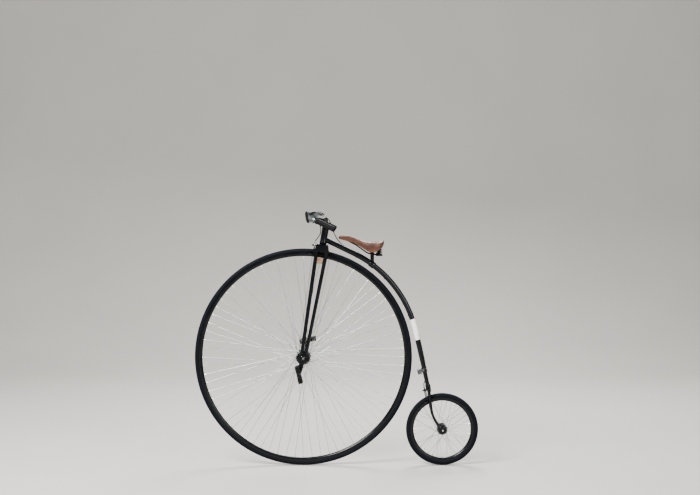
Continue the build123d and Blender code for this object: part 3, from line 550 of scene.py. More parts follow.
# Each wire is one unit long and stretched by its own length. Its hook passes through the
# flange and ends in a small round head on the other face.
straight = lathe([(0, thin), (1, thin)], (0, 0, 0), up, 8)
hook = lathe([(-1.4, 0.4), (-1.2, thin * 1.7), (-0.3, thin * 1.9), (0.2, thin), (hook_length, thin)],
             (0, 0, 0), up, 8)
nipple = lathe([(-12, thin), (-11.7, 1.7), (-3.5, 1.8), (-3.3, 2.5), (0.5, 2.6), (1.5, 1.8)], (0, 0, 0), up, 8)
for name, wheel in wheels.items():
    start, end, through = spoke_ends(wheel)
    z = unit(end - start)
    x = unit(np.cross(z, right))
    y = np.cross(z, x)
    wires = moved_copies(straight, start, x, y, end - start)
    hooks = moved_copies(hook, start - through * hook_length, np.broadcast_to(back, x.shape),
                         np.cross(through, back), through)
    make_piece(f"{name}_spokes", [wires, hooks], wire, f"{name}_wheel")
    make_piece(f"{name}_nipples", [moved_copies(nipple, end, x, y, z)], plated, f"{name}_wheel")

    inside, outside = wheel.flange_y - flange_half, wheel.flange_y + flange_half
    barrel, flange, collar, end_y = wheel.barrel, wheel.flange, wheel.collar, wheel.end_y
    half_shell = [(inside - 9, barrel), (inside - 3, barrel + 1.5), (inside, barrel + 5), (inside, flange - 1),
                  (inside + 1, flange), (outside - 1, flange), (outside, flange - 1), (outside, barrel + 4),
                  (outside + 2, barrel), (end_y - 5, collar + 1), (end_y - 4, collar), (end_y, collar)]
    profile = [(-y, r) for y, r in reversed(half_shell)] + half_shell + [(end_y, wheel.bore), (-end_y, wheel.bore)]
    make_piece(f"{name}_hub_shell", [lathe(profile, wheel.centre, right, 72, ring=True)],
               enamel, f"{name}_wheel", [f"{name}_hub"], sharp=40)

# %% [markdown]
# ## Fasteners
# A hexagon nut is a lathe with six segments and a domed end; a washer lies under it.
# One function makes both, for the axles, the clamps and the bearing caps.

# %% Nuts
washer_depth = 1.4


def hexagon(origin, axis, radius, height, washer=True, stud=0.0):
    """Surfaces of a chamfered nut on a washer, with the end of a stud standing out of it."""
    base = washer_depth if washer else 0.0
    top = base + height
    surfaces = [lathe([(base, 0.5 * radius), (base, 0.93 * radius), (base + 0.8, radius), (top - 0.9, radius),
                       (top, 0.84 * radius), (top, 0.5 * radius)], origin, axis, 6)]
    if washer:
        surfaces.append(lathe([(0, 0.4 * radius), (0, 1.25 * radius), (1.0, 1.28 * radius),
                               (base, 1.2 * radius), (base, 0.4 * radius)], origin, axis, 32))
    if stud:
        surfaces.append(lathe([(0, 0.5 * radius), (top + stud - 0.8, 0.5 * radius),
                               (top + stud, 0.42 * radius)], origin, axis, 20))
    return surfaces


# %% [markdown]
# ## Axle, cranks and pedals
# A crank is forged: a boss round the axle, an arm that narrows, and an eye for the
# pedal's spindle. Its outline is two arcs joined by straight sides; a small bevel
# gives the forging's soft edges. A cotter pin wedges each boss on the axle.

# %% Axle and cranks
axle_end, axle_shoulder = 92.0, 60
half_axle = [(axle_shoulder, 10), (axle_end, 9.6), (axle_end + 1.5, 7)]
axle_profile = [(-along, radius) for along, radius in reversed(half_axle)] + half_axle
make_piece("turned_axle", [lathe(axle_profile, hub, right, 48)], plated, "front_wheel", ["front_axle"])

crank_length = 89.0
crank_lean = radians(14)
boss_from, boss_to = 68, 92
crank_ends = {}


def rounded_arm(length, root, tip, count=18):
    """Outline of a crank in its own plane: an arc round the axle, one round the eye, straight sides."""
    lean = np.arcsin((root - tip) / length)
    first = np.linspace(pi / 2 - lean, 3 * pi / 2 + lean, count)
    second = np.linspace(-pi / 2 + lean, pi / 2 - lean, count)
    near = np.stack([root * np.cos(first), root * np.sin(first)], -1)
    far = np.stack([length + tip * np.cos(second), tip * np.sin(second)], -1)
    return np.concatenate([near, far])


for name, way in left_and_right:
    outward = right * way
    direction = np.array([way * sin(crank_lean), 0, way * cos(crank_lean)])
    sideways = np.cross(outward, direction)
    eye = hub + direction * crank_length
    crank_ends[name] = eye
    arm = plate(rounded_arm(crank_length, 15.5, 11), hub, direction, sideways, 73.5, 86.5)
    boss = lathe(chamfered(boss_from, boss_to, 10.2, 19), hub, outward, 56, ring=True)
    eye_boss = lathe(chamfered(73, 90, 5, 13, cut_in=0.8), eye, outward, 48)
    make_piece(f"forged_crank_{name}", [arm, boss, eye_boss], enamel, "front_wheel", [f"crank_{name}"], bevel=1.6)
    spindle = lathe([(88, 6), (187, 6), (188, 5)], eye, outward, 32)
    make_piece(f"pedal_spindle_{name}", [spindle], plated, "front_wheel")
    pin_at = hub + outward * (boss_from + boss_to) / 2 - direction * 11
    pin = lathe([(-19, 3.2), (-18, 4), (20, 4.2), (21, 3.4)], pin_at, sideways, 20)
    cap = lathe([(91, 9), (92.5, 9.4), (93.4, 8.6), (94, 6), (94, 3.4)], hub, outward, 40)
    make_piece(f"cotter_and_cap_{name}", [pin, cap] + hexagon(pin_at - sideways * 16.5, -sideways, 5.5, 4.5),
               blackened, "front_wheel")
    screw = lathe([(93, 3.2), (94.4, 3.2), (94.8, 2.2)], hub, outward, 24)
    make_piece(f"axle_screw_{name}", [screw], plated, "front_wheel")

# %% [markdown]
# A pedal turns on its spindle. Two rubber blocks sit on rods between two end plates.
# Each block has square ribs that grip the shoe, so its section is an outline with
# notches, given the block's length.

# %% Pedals
pedal_tilt = {"left": radians(103), "right": radians(12)}
pedal_in, pedal_out = 94, 184
end_plate = 3
block_at = 32.0


def ribbed_block(width, height, ribs=5, notch=2.2):
    """Outline of a block whose top and bottom are notched between ribs."""
    edges = np.repeat(np.linspace(-width / 2, width / 2, 2 * ribs), 2)[1:-1]
    top = [(x, height / 2 - (notch if k % 4 in (1, 2) else 0)) for k, x in enumerate(edges)]
    bottom = [(x, -y) for x, y in reversed(top)]
    return np.array(top + bottom)


for name, way in left_and_right:
    tilt = pedal_tilt[name]
    outward = right * way
    along = np.array([cos(tilt), 0, sin(tilt)])
    over = np.cross(outward, along)
    at = crank_ends[name]
    body = f"pedal_{name}"
    cage = [plate(oval(45, 10, 40, 5.0), at, along, over, low, low + end_plate)
            for low in (pedal_in, pedal_out - end_plate)]
    cage.append(lathe([(94, 6.2), (94, 10), (96, 11), (104, 11), (108, 9), (170, 9), (174, 10.5), (184, 10.5),
                       (187, 9.5), (188.5, 6.2)], at, outward, 36))
    make_piece(f"pedal_cage_{name}", cage, enamel, body, [f"pedal_{name}_frame"], bevel=0.7)
    rods, blocks = [], []
    for sign in (-1, 1):
        rod_at = at + along * (sign * block_at)
        rods += [lathe([(pedal_in + 1, 4), (pedal_out - 1, 4)], rod_at, outward, 20)]
        rods += hexagon(rod_at + outward * pedal_out, outward, 5.2, 3.6, stud=1.5)
        blocks.append(plate(ribbed_block(34, 25) + (sign * block_at, 0), at, along, over,
                            pedal_in + end_plate, pedal_out - end_plate))
    rods += hexagon(at + outward * pedal_out, outward, 8.5, 3.0, washer=False)
    make_piece(f"pedal_rods_{name}", rods, blackened, body)
    make_piece(f"pedal_rubbers_{name}", blocks, moulded, body, [f"pedal_{name}_blocks"], bevel=0.8)

# %% [markdown]
# ## Fork
# Each leg is a pair of tapered tubes, brazed together by a small plate under the
# crown. At the foot a split housing holds the axle's bearing: its upper half belongs
# to the leg, its cap is bolted on from below.

# %% Fork legs and bearings
bearing_y, bearing_foot = 56.0, 18
crown_low, crown_y = 623.0, 38.0
spread_top, spread_low = 29.0, 12.0
bridge_low, bridge_high = 555, 592
bolt_reach = 31
round_section = oval(1, 1, 32)
for name, way in left_and_right:
    bearing_at = steered([0, way * bearing_y, 0])
    tubes = []
    for lean in (-1, 1):
        foot = steered([lean * spread_low, way * bearing_y, bearing_foot])
        top = steered([lean * spread_top, way * crown_y, crown_low + 2])
        tubes.append(carry(run(foot, top, 12), round_section, right, np.linspace(9.5, 11, 12)))
        tubes.append(lathe([(-20, 11), (-19, 12), (-3, 12.6), (0, 12.6)], top, top - foot, 32))
    make_piece(f"fork_leg_{name}", tubes, enamel, "steering", [f"fork_{name}"], bevel=1.2)

    bridge_share = (bridge_low + bridge_high) / 2 / crown_low
    bridge_at = steered([0, way * (bearing_y + (crown_y - bearing_y) * bridge_share), 0])
    bridge = plate([(-25, bridge_low), (25, bridge_low), (25, bridge_high), (-25, bridge_high)],
                   bridge_at, steer_back, steer_up, -3, 3)
    make_piece(f"fork_bridge_{name}", [bridge], bronze, "steering", bevel=1.2)

    housing = [lathe(chamfered(-10, 10, 21.2, 29, 1.5, 1.5), bearing_at, right, 72, ring=True)]
    bolts = []
    for x in (-bolt_reach, bolt_reach):
        housing.append(plate([(x - 5, -8), (x + 5, -8), (x + 5, 7), (x - 5, 7)], bearing_at,
                             steer_back, steer_up, -7, 7))
        bolts += hexagon(bearing_at + steer_back * x + steer_up * 7, steer_up, 4.6, 4, stud=2)
        bolts += hexagon(bearing_at + steer_back * x - steer_up * 8, -steer_up, 4.6, 4)
    make_piece(f"bearing_housing_{name}", housing, enamel, "steering", [f"bearing_cap_{name}"], bevel=1.0)
    race = lathe([(-7, 10.15), (-7, 20.8), (7, 20.8), (7, 10.15)], bearing_at, right, 64, ring=True)
    make_piece(f"bearing_race_{name}", [race], blackened, "steering", [f"bearing_{name}"])
    make_piece(f"cap_bolts_{name}", bolts, blackened, "steering")

# %% [markdown]
# The crown is a casting that arches over the tyre. Its outline is drawn from behind,
# with the arch cut out of it, and its depth shrinks towards the top.

# %% Fork crown and headset
arch_radius = 25
arch_t = np.linspace(pi, 0, 21)
arch = np.stack([arch_radius * np.cos(arch_t), 622 + arch_radius * np.sin(arch_t)], -1)
shoulder = [(51, 623), (51, 646), (47, 655), (40, 664), (30, 670)]
crown_outline = np.concatenate([shoulder, [(-x, y) for x, y in reversed(shoulder)], arch])
crown_depth = np.interp(crown_outline[:, 1], [622, 634, 655, 670], [43, 42, 37, 32])
crown = plate(crown_outline, hub, right, steer_up, -crown_depth, crown_depth)
steerer = lathe([(668, 12.7), (779, 12.7)], hub, steer_up, 40)
make_piece("cast_crown", [crown, steerer], enamel, "steering", ["fork_crown"], bevel=2.2)

lower_race = [(670, 12.9), (670, 20.5), (671, 21), (671.8, 21), (672.5, 19), (672.5, 12.9)]
upper_race = [(763.5, 12.9), (763.5, 20), (764.5, 21), (768.5, 21), (769.5, 20), (769.5, 12.9)]
locknut = [(769.5, 12.9), (769.5, 19.5), (770.5, 21), (777.5, 21), (779, 18.5), (779, 12.9)]
lower_cup = [(673, 14.4), (673, 21), (674, 22), (675.5, 22), (676, 21), (676, 14.4)]
upper_cup = [(760, 14.4), (760, 21), (760.5, 22), (762, 22), (763, 21), (763, 14.4)]
head = [(676, 16), (676, 19.4), (677, 20.6), (683, 20.6), (685, 20), (751, 20), (753, 20.6), (759, 20.6),
        (760, 19.4), (760, 16)]


def round_head(profile, segments=72):
    """A closed ring round the steering axis."""
    return lathe(profile, hub, steer_up, segments, ring=True)


make_piece("headset_locknut", [round_head(lower_race, 64), round_head(upper_race, 64), round_head(locknut, 6)],
           enamel, "steering", ["headset_races"])
make_piece("head_column", [round_head(head)], enamel, "frame", ["head_tube"])
make_piece("headset_cup_rings", [round_head(lower_cup), round_head(upper_cup)], enamel, "frame", ["headset_cups"])

# %% [markdown]
# ## Backbone
# One tube runs from the head, round the front wheel at a constant distance and on
# down to the rear fork, tapering on the way. A white enamelled band is painted round
# its lower curve. The tube is a circle carried along that line.

# %% Backbone and its white band
spine_radius = 674.0
tube_radius, tube_end = 15.5, 11.5
arc_from, arc_to = radians(64), radians(12.5)
taper_length, band_length = 330.0, 46
paint = 0.4
neck = from_hub([118, 0, 692.4])
down = np.array([sin(arc_to), 0, -cos(arc_to)])


def on_spine(angle):
    """Point of the backbone's arc at an angle round the front hub."""
    angle = np.asarray(angle, float)
    return hub + spine_radius * np.stack([np.cos(angle), 0 * angle, np.sin(angle)], -1)


def tube_at(along):
    """The tube's radius at a distance down its straight part."""
    return tube_radius - (tube_radius - tube_end) * along / taper_length


arc_start, arc_end = on_spine(arc_from), on_spine(arc_to)
spine_path = np.concatenate([run(neck + unit(arc_start - neck) * 17, arc_start, 12)[:-1],
                             on_spine(np.linspace(arc_from, arc_to, 80)),
                             run(arc_end, arc_end + down * taper_length, 24)[1:]])
spine_size = np.concatenate([np.full(91, tube_radius), tube_at(np.linspace(0, taper_length, 24)[1:])])
make_piece("backbone_tube", [carry(spine_path, round_section, right, spine_size)], enamel, "frame", ["backbone"])
band_path = np.concatenate([on_spine(np.linspace(radians(19.2), arc_to, 20)),
                            run(arc_end, arc_end + down * band_length, 8)[1:]])
band_size = paint + np.concatenate([np.full(20, tube_radius), tube_at(np.linspace(0, band_length, 8)[1:])])
make_piece("white_band", [carry(band_path, round_section, right, band_size)], white, "frame")

# %% [markdown]
# ## Rear fork
# A short crown crosses the end of the backbone. A blade drops from each of its ends,
# straight at first, then curving back to a flat eye that the axle's nuts clamp.

# %% Rear crown, blades and axle
crown_centre = rear + np.array([-79.0, 0, 233.0])
fork_lean = radians(7)
blade_down = np.array([sin(fork_lean), 0, -cos(fork_lean)])
blade_back = np.array([cos(fork_lean), 0, sin(fork_lean)])
crown_block = plate(oval(46, 12, 40, 4.0), crown_centre, right, unit(np.cross(down, right)), -10, 10)
sleeve = lathe([(-31, 12.6), (-30.4, 14.4), (-28, 15), (-10, 15.2), (10, 13)], crown_centre, down, 48)
make_piece("rear_crown_lug", [crown_block, sleeve], enamel, "frame", ["rear_fork_crown"], bevel=2.0)

# The blade is straight for a while, then an arc whose chord ends at the axle.
straight = 106.0
to_axle = rear - crown_centre
fall, set_back = to_axle @ blade_down, to_axle @ blade_back
chord = fall - straight
bend_radius = (chord**2 + set_back**2) / (2 * set_back)
a = np.linspace(0, 2 * np.arctan2(set_back, chord), 40)
along_blade = np.concatenate([np.linspace(8, straight, 14)[:-1], straight + bend_radius * np.sin(a)])
behind_blade = np.concatenate([np.zeros(13), bend_radius * (1 - np.cos(a))])
above_eye = along_blade < fall - 9
nuts = []
for name, way in left_and_right:
    outward = right * way
    spread = 34 + 15 * along_blade / fall
    path = (crown_centre + along_blade[:, None] * blade_down + behind_blade[:, None] * blade_back
            + spread[:, None] * outward)[above_eye]
    sizes = np.interp(along_blade[above_eye], [0, straight, fall], [8.2, 7.8, 6.4])
    eye = lathe(chamfered(46, 52, 5.2, 17), rear, outward, 56, ring=True)
    make_piece(f"rear_blade_{name}", [carry(path, round_section, right, sizes), eye], enamel, "frame",
               [f"rear_fork_{name}"])
    nuts += hexagon(rear + outward * 52, outward, 9.5, 9)
make_piece("rear_axle_rod", [lathe([(-66, 4.2), (-65, 5), (65, 5), (66, 4.2)], rear, right, 32)],
           plated, "frame", ["rear_axle"])
make_piece("rear_axle_nuts", nuts, blackened, "frame")

# %% [markdown]
# ## Handlebar, stem, grips and levers
# The bar leaves its clamp sideways, rises a little, turns and sweeps back and down to
# the grips. The levers sit above the grips, as the photograph shows.

# %% Handlebar and stem
bar_half = np.array([(127, 45, 798), (32, 168, 820), (44, 212, 816), (182, 272, 751)], float)
bar_bends = (41, 41, 60, 60, 41, 41)
bar_route = from_hub(np.concatenate([bar_half[::-1] * (1, -1, 1), bar_half]))
bar_path = rounded(bar_route, bar_bends, 14)
make_piece("bent_handlebar", [carry(bar_path, round_section * 11.1, up)], enamel, "steering", ["handlebar"])
bar_middle = from_hub([127, 0, 798])
stem_foot = hub + steer_up * 779
stem_parts = [
    lathe([(-1, 10), (-1, 13), (0.5, 14), (6, 14), (9, 12), (16, 11.5)], stem_foot, steer_up, 40),
    carry(run(stem_foot + steer_up * 10, bar_middle, 6), round_section * 11.5, right),
    lathe(chamfered(-22, 22, 11.3, 17, 1.5, 1.4), bar_middle, right, 56, ring=True)]
make_piece("stem_and_clamp", stem_parts, enamel, "steering", ["stem"])
bolt_axis = unit(bar_middle - stem_foot)
make_piece("stem_bolts", hexagon(bar_middle + bolt_axis * 16, bolt_axis, 5.2, 4, stud=1.5), plated, "steering")

# %% [markdown]
# The lever's body stands at the bar's forward bend, with a rubber bumper along its
# front edge. Both are cushions: an outline from the side that shrinks towards both
# faces, so that every edge is soft.

# %% Grips and levers
grip_length, ring_spacing = 116.0, 7.0
lever_at, body_out = 132.0, 226.0
cable_exit = (32, 0, 838)
# Places on the blade: towards the fingers from the bar, and back along the grip
blade_places = [(30, -30), (44, -20), (55, -3), (63, 18), (66, 38), (66, 50)]
body_outline = np.array([(18, 850), (36, 853), (64, 847), (84, 834), (82, 814), (62, 806), (54, 794), (34, 784),
                         (24, 800)], float)
bumper_outline = np.array([(16, 851), (33, 853), (36, 830), (39, 806), (44, 790), (33, 782), (22.5, 800)], float)


def softened(outline, times=3):
    """Closed outline whose corners are cut: each side (a, b) keeps 3a/4 + b/4 and a/4 + 3b/4."""
    for _ in range(times):
        following = np.roll(outline, -1, 0)
        outline = np.stack([0.75 * outline + 0.25 * following, 0.25 * outline + 0.75 * following], 1)
        outline = outline.reshape(-1, 2)
    return outline


def cushion(outline, origin, x_axis, y_axis, half, power=5.0):
    """Outline between two soft faces: scale |cos a| ** (2 / p), depth half |sin a| ** (2 / p)."""
    a = np.radians(np.linspace(-84, 84, 17))
    scale = np.cos(a) ** (2 / power)
    depth = half * np.sign(a) * np.abs(np.sin(a)) ** (2 / power)
    middle = outline.mean(0)
    flat = middle + scale[:, None, None] * (outline - middle)
    z_axis = np.cross(x_axis, y_axis)
    return grid(origin + flat[..., :1] * x_axis + flat[..., 1:] * y_axis + depth[:, None, None] * z_axis)


for name, way in left_and_right:
    outward = right * way
    bend, bar_end = from_hub(bar_half[2:] * (1, way, 1))
    grip_line = unit(bar_end - bend)
    side_line = unit([-grip_line[1] * way, grip_line[0] * way, 0])
    upwards = np.cross(grip_line, side_line) * way
    # A moulded grip: a flange at the thumb, shallow rings for the fingers, a rounded end.
    s = np.linspace(-grip_length + 7, 2, 110)
    rings = 15.2 + 0.55 * np.cos(s * 2 * pi / ring_spacing)
    flange = np.array([(0, 11.3), (0, 17.5), (1.2, 18.4), (4, 18.2), (6, 16)]) - (grip_length, 0)
    profile = np.concatenate([flange, np.stack([s, rings], -1), [(4, 14.6), (5.2, 12), (5.6, 4)]])
    make_piece(f"ringed_grip_{name}", [lathe(profile, bar_end, grip_line, 56)], moulded, "steering",
               [f"grip_{name}"], sharp=60)

    ring = bar_end - grip_line * lever_at
    body_at = hub + outward * body_out
    body = cushion(softened(body_outline), body_at, back, up, 10.6)
    clamp = lathe(chamfered(-8, 8, 11.4, 16.2), ring, grip_line, 48, ring=True)
    ferrule = lathe([(-1, 4), (-1, 4.6), (4, 4.6), (4.6, 4), (9, 3.8), (9.5, 2.6)],
                    from_hub(cable_exit) + outward * (body_out - 10), -outward, 24)
    make_piece(f"lever_body_{name}", [body, clamp, ferrule], alloy, "steering", [f"brake_lever_{name}"])
    bumper = cushion(softened(bumper_outline), body_at, back, up, 11.4)
    make_piece(f"lever_bumper_{name}", [bumper], moulded, "steering")
    reach = unit(upwards * 0.8 + side_line * 0.6)
    route = smooth_line([ring + reach * out + grip_line * behind for out, behind in blade_places])
    sizes = np.interp(np.linspace(0, 1, len(route)), [0, 0.2, 0.85, 0.97, 1], [1.1, 1.0, 0.85, 0.95, 0.5])
    blade = carry(route, oval(3.4, 6.4, 24, 3.0), np.cross(grip_line, reach), sizes)
    make_piece(f"lever_blade_{name}", [blade], enamel, "steering")
    bolts = hexagon(from_hub([50, 0, 836]) + outward * (body_out + 10), outward, 5.5, 2.4)
    bolts += hexagon(ring - upwards * 15.5, -upwards, 4.4, 3.4)
    make_piece(f"lever_bolts_{name}", bolts, blackened, "steering")

# %% [markdown]
# ## Brakes
# Each brake is a side-pull caliper: two curved arms on one pivot, one in front of the
# other, and a rubber block in a holder at each tip.

# %% Calipers and blocks
forwards = np.array([-cos(arc_to), 0, -sin(arc_to)])
brakes = {
    "front": SimpleNamespace(pivot=hub + steer_up * 655 - steer_back * 36, ahead=-steer_back, rise=steer_up,
                             drop=54, half_rim=12.5, block_length=46, body="steering"),
    "rear": SimpleNamespace(pivot=crown_centre + forwards * 12, ahead=forwards, rise=-down,
                            drop=70, half_rim=14.0, block_length=40, body="frame"),
}
left = -right
arm_section = oval(4.8, 2.5, 24, 3.0)
block_section, shoe_section = oval(4.2, 6.2, 28, 4.0), oval(2.2, 7.0, 28, 4.0)
for name, brake in brakes.items():
    pivot, ahead, rise, drop = brake.pivot, brake.ahead, brake.rise, brake.drop
    pad_x = brake.half_rim + 5.0
    arms = [lathe([(-6, 4), (-6, 4.6), (24, 4.6), (26, 3.6)], pivot, ahead, 24)]
    blocks, shoes = [], []
    for lean, layer in ((1, 8.5), (-1, 13.5)):
        flat = smooth_line([(-lean * 26, 16), (-lean * 12, 9), (0, 2), (lean * 20, -3), (lean * 34, -16),
                            (lean * 37, -drop + 22), (lean * (pad_x + 18), -drop + 6),
                            (lean * (pad_x + 10), -drop)], 6)
        path = pivot + flat[:, :1] * left + flat[:, 1:] * rise + layer * ahead
        sizes = np.interp(np.linspace(0, 1, len(path)), [0, 0.06, 0.3, 0.8, 1], [0.6, 0.85, 1.25, 0.95, 0.8])
        arms.append(carry(path, arm_section, ahead, sizes))
    for lean in (-1, 1):
        half = ahead * brake.block_length / 2
        middle = pivot + left * (lean * (pad_x + 4)) - rise * drop + ahead * 11
        blocks.append(carry(run(middle - half, middle + half, 8), block_section, left))
        shoe_at = middle + left * (lean * 4.4)
        shoes.append(carry(run(shoe_at - half - ahead, shoe_at + half + ahead, 4), shoe_section, left))
        shoes += hexagon(middle + left * (lean * 12), left * lean, 4.4, 4, stud=2)
    shoes += hexagon(pivot + ahead * 16, ahead, 5.2, 4, stud=2)
    make_piece(f"{name}_brake_arms", arms, enamel, brake.body, [f"{name}_caliper"])
    make_piece(f"{name}_brake_rubbers", blocks, moulded, brake.body, [f"{name}_brake_pads"], bevel=0.6)
    make_piece(f"{name}_brake_shoes", shoes, blackened, brake.body)

# %% [markdown]
# ## Cables
# Each cable is one smooth NURBS curve with the part's route points as its control
# points. A curve of order 3 touches the middle of every run between two points, so
# beside the round backbone the points stand where neighbouring tangents meet. The free
# loop between the handlebar and the frame, which bends as the bar turns, is turned into a mesh and left on no
# body.

# %% Cables
cable_radius = 2.5
spine_offset, spine_side = 24.0, radians(55)
cable_arc, cable_y = spine_radius + spine_offset * cos(spine_side), spine_offset * sin(spine_side)
held_from, held_to, tangents = 67.0, 12.5, 9
tangent_step = (held_from - held_to) / tangents
tangents_meet = cable_arc / cos(radians(tangent_step / 2))


def beside_spine(degrees, distance=cable_arc):
    """Point beside the round part of the backbone, at an angle round the front wheel."""
    return (distance * cos(radians(degrees)), cable_y, distance * sin(radians(degrees)))


def beside_taper(along, behind, across_tube):
    """Point beside the straight part of the backbone, measured along, behind and across it."""
    return arc_end - hub + along * down - behind * forwards + across_tube * right


front_route = ((32, -216, 838), (32, -180, 838), (38, -134, 837), (62, -94, 825), (88, -64, 798),
               (103, -43, 762), (103, -35, 726), (88, -32, 700), (73, -29, 684), (66, -26, 671))
loop_route = ((32, 216, 838), (32, 180, 838), (38, 134, 837), (58, 94, 834), (88, 62, 830), (124, 40, 824),
              (154, 30, 798), (166, 24, 758), (182, 22, 716), (200, 20, 684), (232, 19.5, 650),
              beside_spine(held_from))
spine_route = [beside_spine(held_from)]
spine_route += [beside_spine(held_from - tangent_step * (number + 0.5), tangents_meet)
                for number in range(tangents)]
spine_route += [beside_taper(*row) for row in ((106, 15.5, 19.7), (212, 13.8, 19.7), (258, 7, 20.5),
                                               (290, -8, 23), (312, -20, 25), (328, -25.5, 26))]


def cable(name, route, body, node):
    """A NURBS curve with a route's points as its control points, thickened to the cable's radius."""
    curve = bpy.data.curves.new(name, "CURVE")
    curve.dimensions = "3D"
    curve.bevel_depth = cable_radius * mm
    curve.bevel_resolution = 5
    curve.use_fill_caps = True
    curve.resolution_u = 12
    curve.materials.append(housing_vinyl)
    spline = curve.splines.new("NURBS")
    spline.points.add(len(route) - 1)
    places = np.concatenate([from_hub(route) * mm, np.ones((len(route), 1))], 1)
    spline.points.foreach_set("co", places.ravel())
    spline.order_u = 3
    spline.use_endpoint_u = True
    piece = add_object(name, curve)
    if body is None:
        bpy.context.view_layer.update()
        mesh = bpy.data.meshes.new_from_object(piece)
        bpy.data.objects.remove(piece)
        piece = add_object(name, mesh)
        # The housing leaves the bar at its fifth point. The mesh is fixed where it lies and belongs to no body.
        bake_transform(piece)
    else:
        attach(piece, body)
    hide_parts(node)
    print(name, "with", len(route), "control points")


cable("front_cable_housing", front_route, "steering", "front_cable")
cable("rear_cable_housing", spine_route, "frame", "rear_cable")
cable("rear_cable_free_loop", loop_route, None, "rear_cable_loop")

# At each brake the housing ends in an adjuster, and the bare wire runs on to the other arm.
for name, route in (("front", front_route), ("rear", spine_route)):
    brake = brakes[name]
    before, end = from_hub(route[-2:])
    side = np.sign((end - brake.pivot) @ left)
    anchor = brake.pivot + left * (side * 33) - brake.rise * 15 + brake.ahead * 11
    adjuster = lathe([(-9, 3.2), (-8.5, 4.2), (-3, 4.2), (-2.5, 3.4), (3, 3.4), (3.5, 2.2)], end, end - before, 20)
    bare = lathe([(0, 0.8), (np.linalg.norm(anchor - end), 0.8)], end, anchor - end, 8)
    nut = hexagon(anchor + brake.ahead, brake.ahead, 4.0, 3.2)
    make_piece(f"{name}_cable_adjuster", [adjuster, bare] + nut, plated, brake.body)

clips = []
for angle in np.radians((62, 44, 28, 21.5)):
    along = np.array([sin(angle), 0, -cos(angle)])
    lug = np.array([cos(angle), 0, sin(angle)]) * cos(spine_side) + right * sin(spine_side)
    at = on_spine(angle)
    clips.append(lathe(chamfered(-4, 4, 15.2, 17.5, 0.8, 0.7), at, along, 48, ring=True))
    clips.append(lathe([(-4, 2.4), (-4, 4.0), (4, 4.0), (4, 2.4)], at + lug * spine_offset, along, 24, ring=True))
    clips.append(carry(run(at + lug * 16, at + lug * 21.5, 3), oval(3.8, 2.2, 16, 4.0), along))
make_piece("cable_clip_bands", clips, enamel, "frame", ["cable_clips"])

# %% [markdown]
# ## Mounting step
# A serrated step on the left of the backbone is the foothold for climbing on. It
# stands on a band round the tube, clamped by one bolt.

# %% Mounting step
step_height = -75.0
along_spine = ((arc_end - hub)[2] - step_height) / cos(arc_to)
step_centre = arc_end + down * along_spine
band_radius = tube_at(along_spine) + 4
teeth = 6
half_tread, tooth_foot, tread_reach = 11.5, 9.6, 31
edge = np.linspace(-half_tread, half_tread, 2 * teeth + 1)
crest = np.where(np.arange(2 * teeth + 1) % 2, tooth_foot, half_tread)
step_outline = np.concatenate([np.stack([edge, crest], -1),
                               [(half_tread, -half_tread), (-half_tread, -half_tread)]])
band = lathe(chamfered(-13, 13, 12.5, band_radius, 1.5), step_centre, down, 56, ring=True)
tread = plate(step_outline - (tread_reach, 0), step_centre, -forwards, -down, 12, 78)
arm = plate([(-34, -8), (0, -8), (0, 8), (-34, 8)], step_centre, -forwards, -down, 9, 17)
make_piece("step_band", [band], enamel, "frame", ["mounting_step"])
make_piece("serrated_step", [tread, arm], alloy, "frame", bevel=0.5)
make_piece("step_bolt", hexagon(step_centre - forwards * 14, -forwards, 5, 4, stud=2), plated, "frame")

# %% [markdown]
# ## Saddle
# The leather is one sheet pulled over the frame. Its surface is worked out on a disc:
# the angle runs round its outline in plan, and the radius runs from the middle to the
# edge and on down the skirt. The top follows the side view's line and rolls off
# towards the edge, and the skirt tucks in a little below.

# %% Saddle cover
plan_half = smooth_line([(-195, 0), (-193, 12), (-182, 20), (-140, 25), (-100, 30), (-55, 42), (-20, 62), (14, 91),
                         (34, 102.5), (53, 96), (66, 66), (71, 30), (71, 0)], 10)
plan_outline = np.concatenate([plan_half, plan_half[-2:0:-1] * (1, -1)])
top_line = smooth_line([(-198, 27), (-190, 33), (-165, 37), (-130, 35), (-98, 25), (-50, 6), (-5, 0), (40, 5),
                        (72, 16)], 10)
skirt_line = smooth_line([(-198, 16), (-150, 5), (-104, -9), (-63, -32), (-11, -60), (30, -54), (60, -32),
                          (72, -20)], 10)
hide_thickness, skirt_tuck = 4.5, 5.0


def saddle_surface(inset=0.0, rows=46, columns=220):
    """Points of the leather: plan position m + r (outline - m), height top(x) - roll(r), then the skirt.

    The middle m slides along the saddle's length, so rows stay even from nose to tail.
    """
    length = np.concatenate([[0], np.cumsum(np.linalg.norm(np.diff(plan_outline, axis=0), axis=1))])
    s = np.linspace(0, length[-1], columns, endpoint=False)
    edge = np.stack([np.interp(s, length, plan_outline[:, k]) for k in (0, 1)], -1)
    middle = edge * (1, 0)
    middle[:, 0] = np.clip(edge[:, 0], -172, 30)
    direction = unit(edge - middle)
    edge = edge - direction * inset
    over = np.linspace(0, 1, rows)[:, None]
    plan = middle + over[..., None] * (edge - middle)
    top = np.interp(plan[..., 0], top_line[:, 0], top_line[:, 1])
    roll = np.clip(np.linalg.norm(edge - middle, axis=1) * 0.34, 5, 24)
    height = top - roll * (1 - np.sqrt(np.clip(1 - over**3.2, 0, 1))) - inset
    rim = height[-1]
    bottom = np.minimum(np.interp(edge[:, 0], skirt_line[:, 0], skirt_line[:, 1]), rim - 4)
    fallen = np.linspace(0, 1, 14)[1:, None]
    skirt_plan = edge - direction * (skirt_tuck * fallen**2)[..., None]
    skirt_height = rim + (bottom - rim) * fallen
    return np.concatenate([np.concatenate([plan, height[..., None]], -1),
                           np.concatenate([skirt_plan, skirt_height[..., None]], -1)])


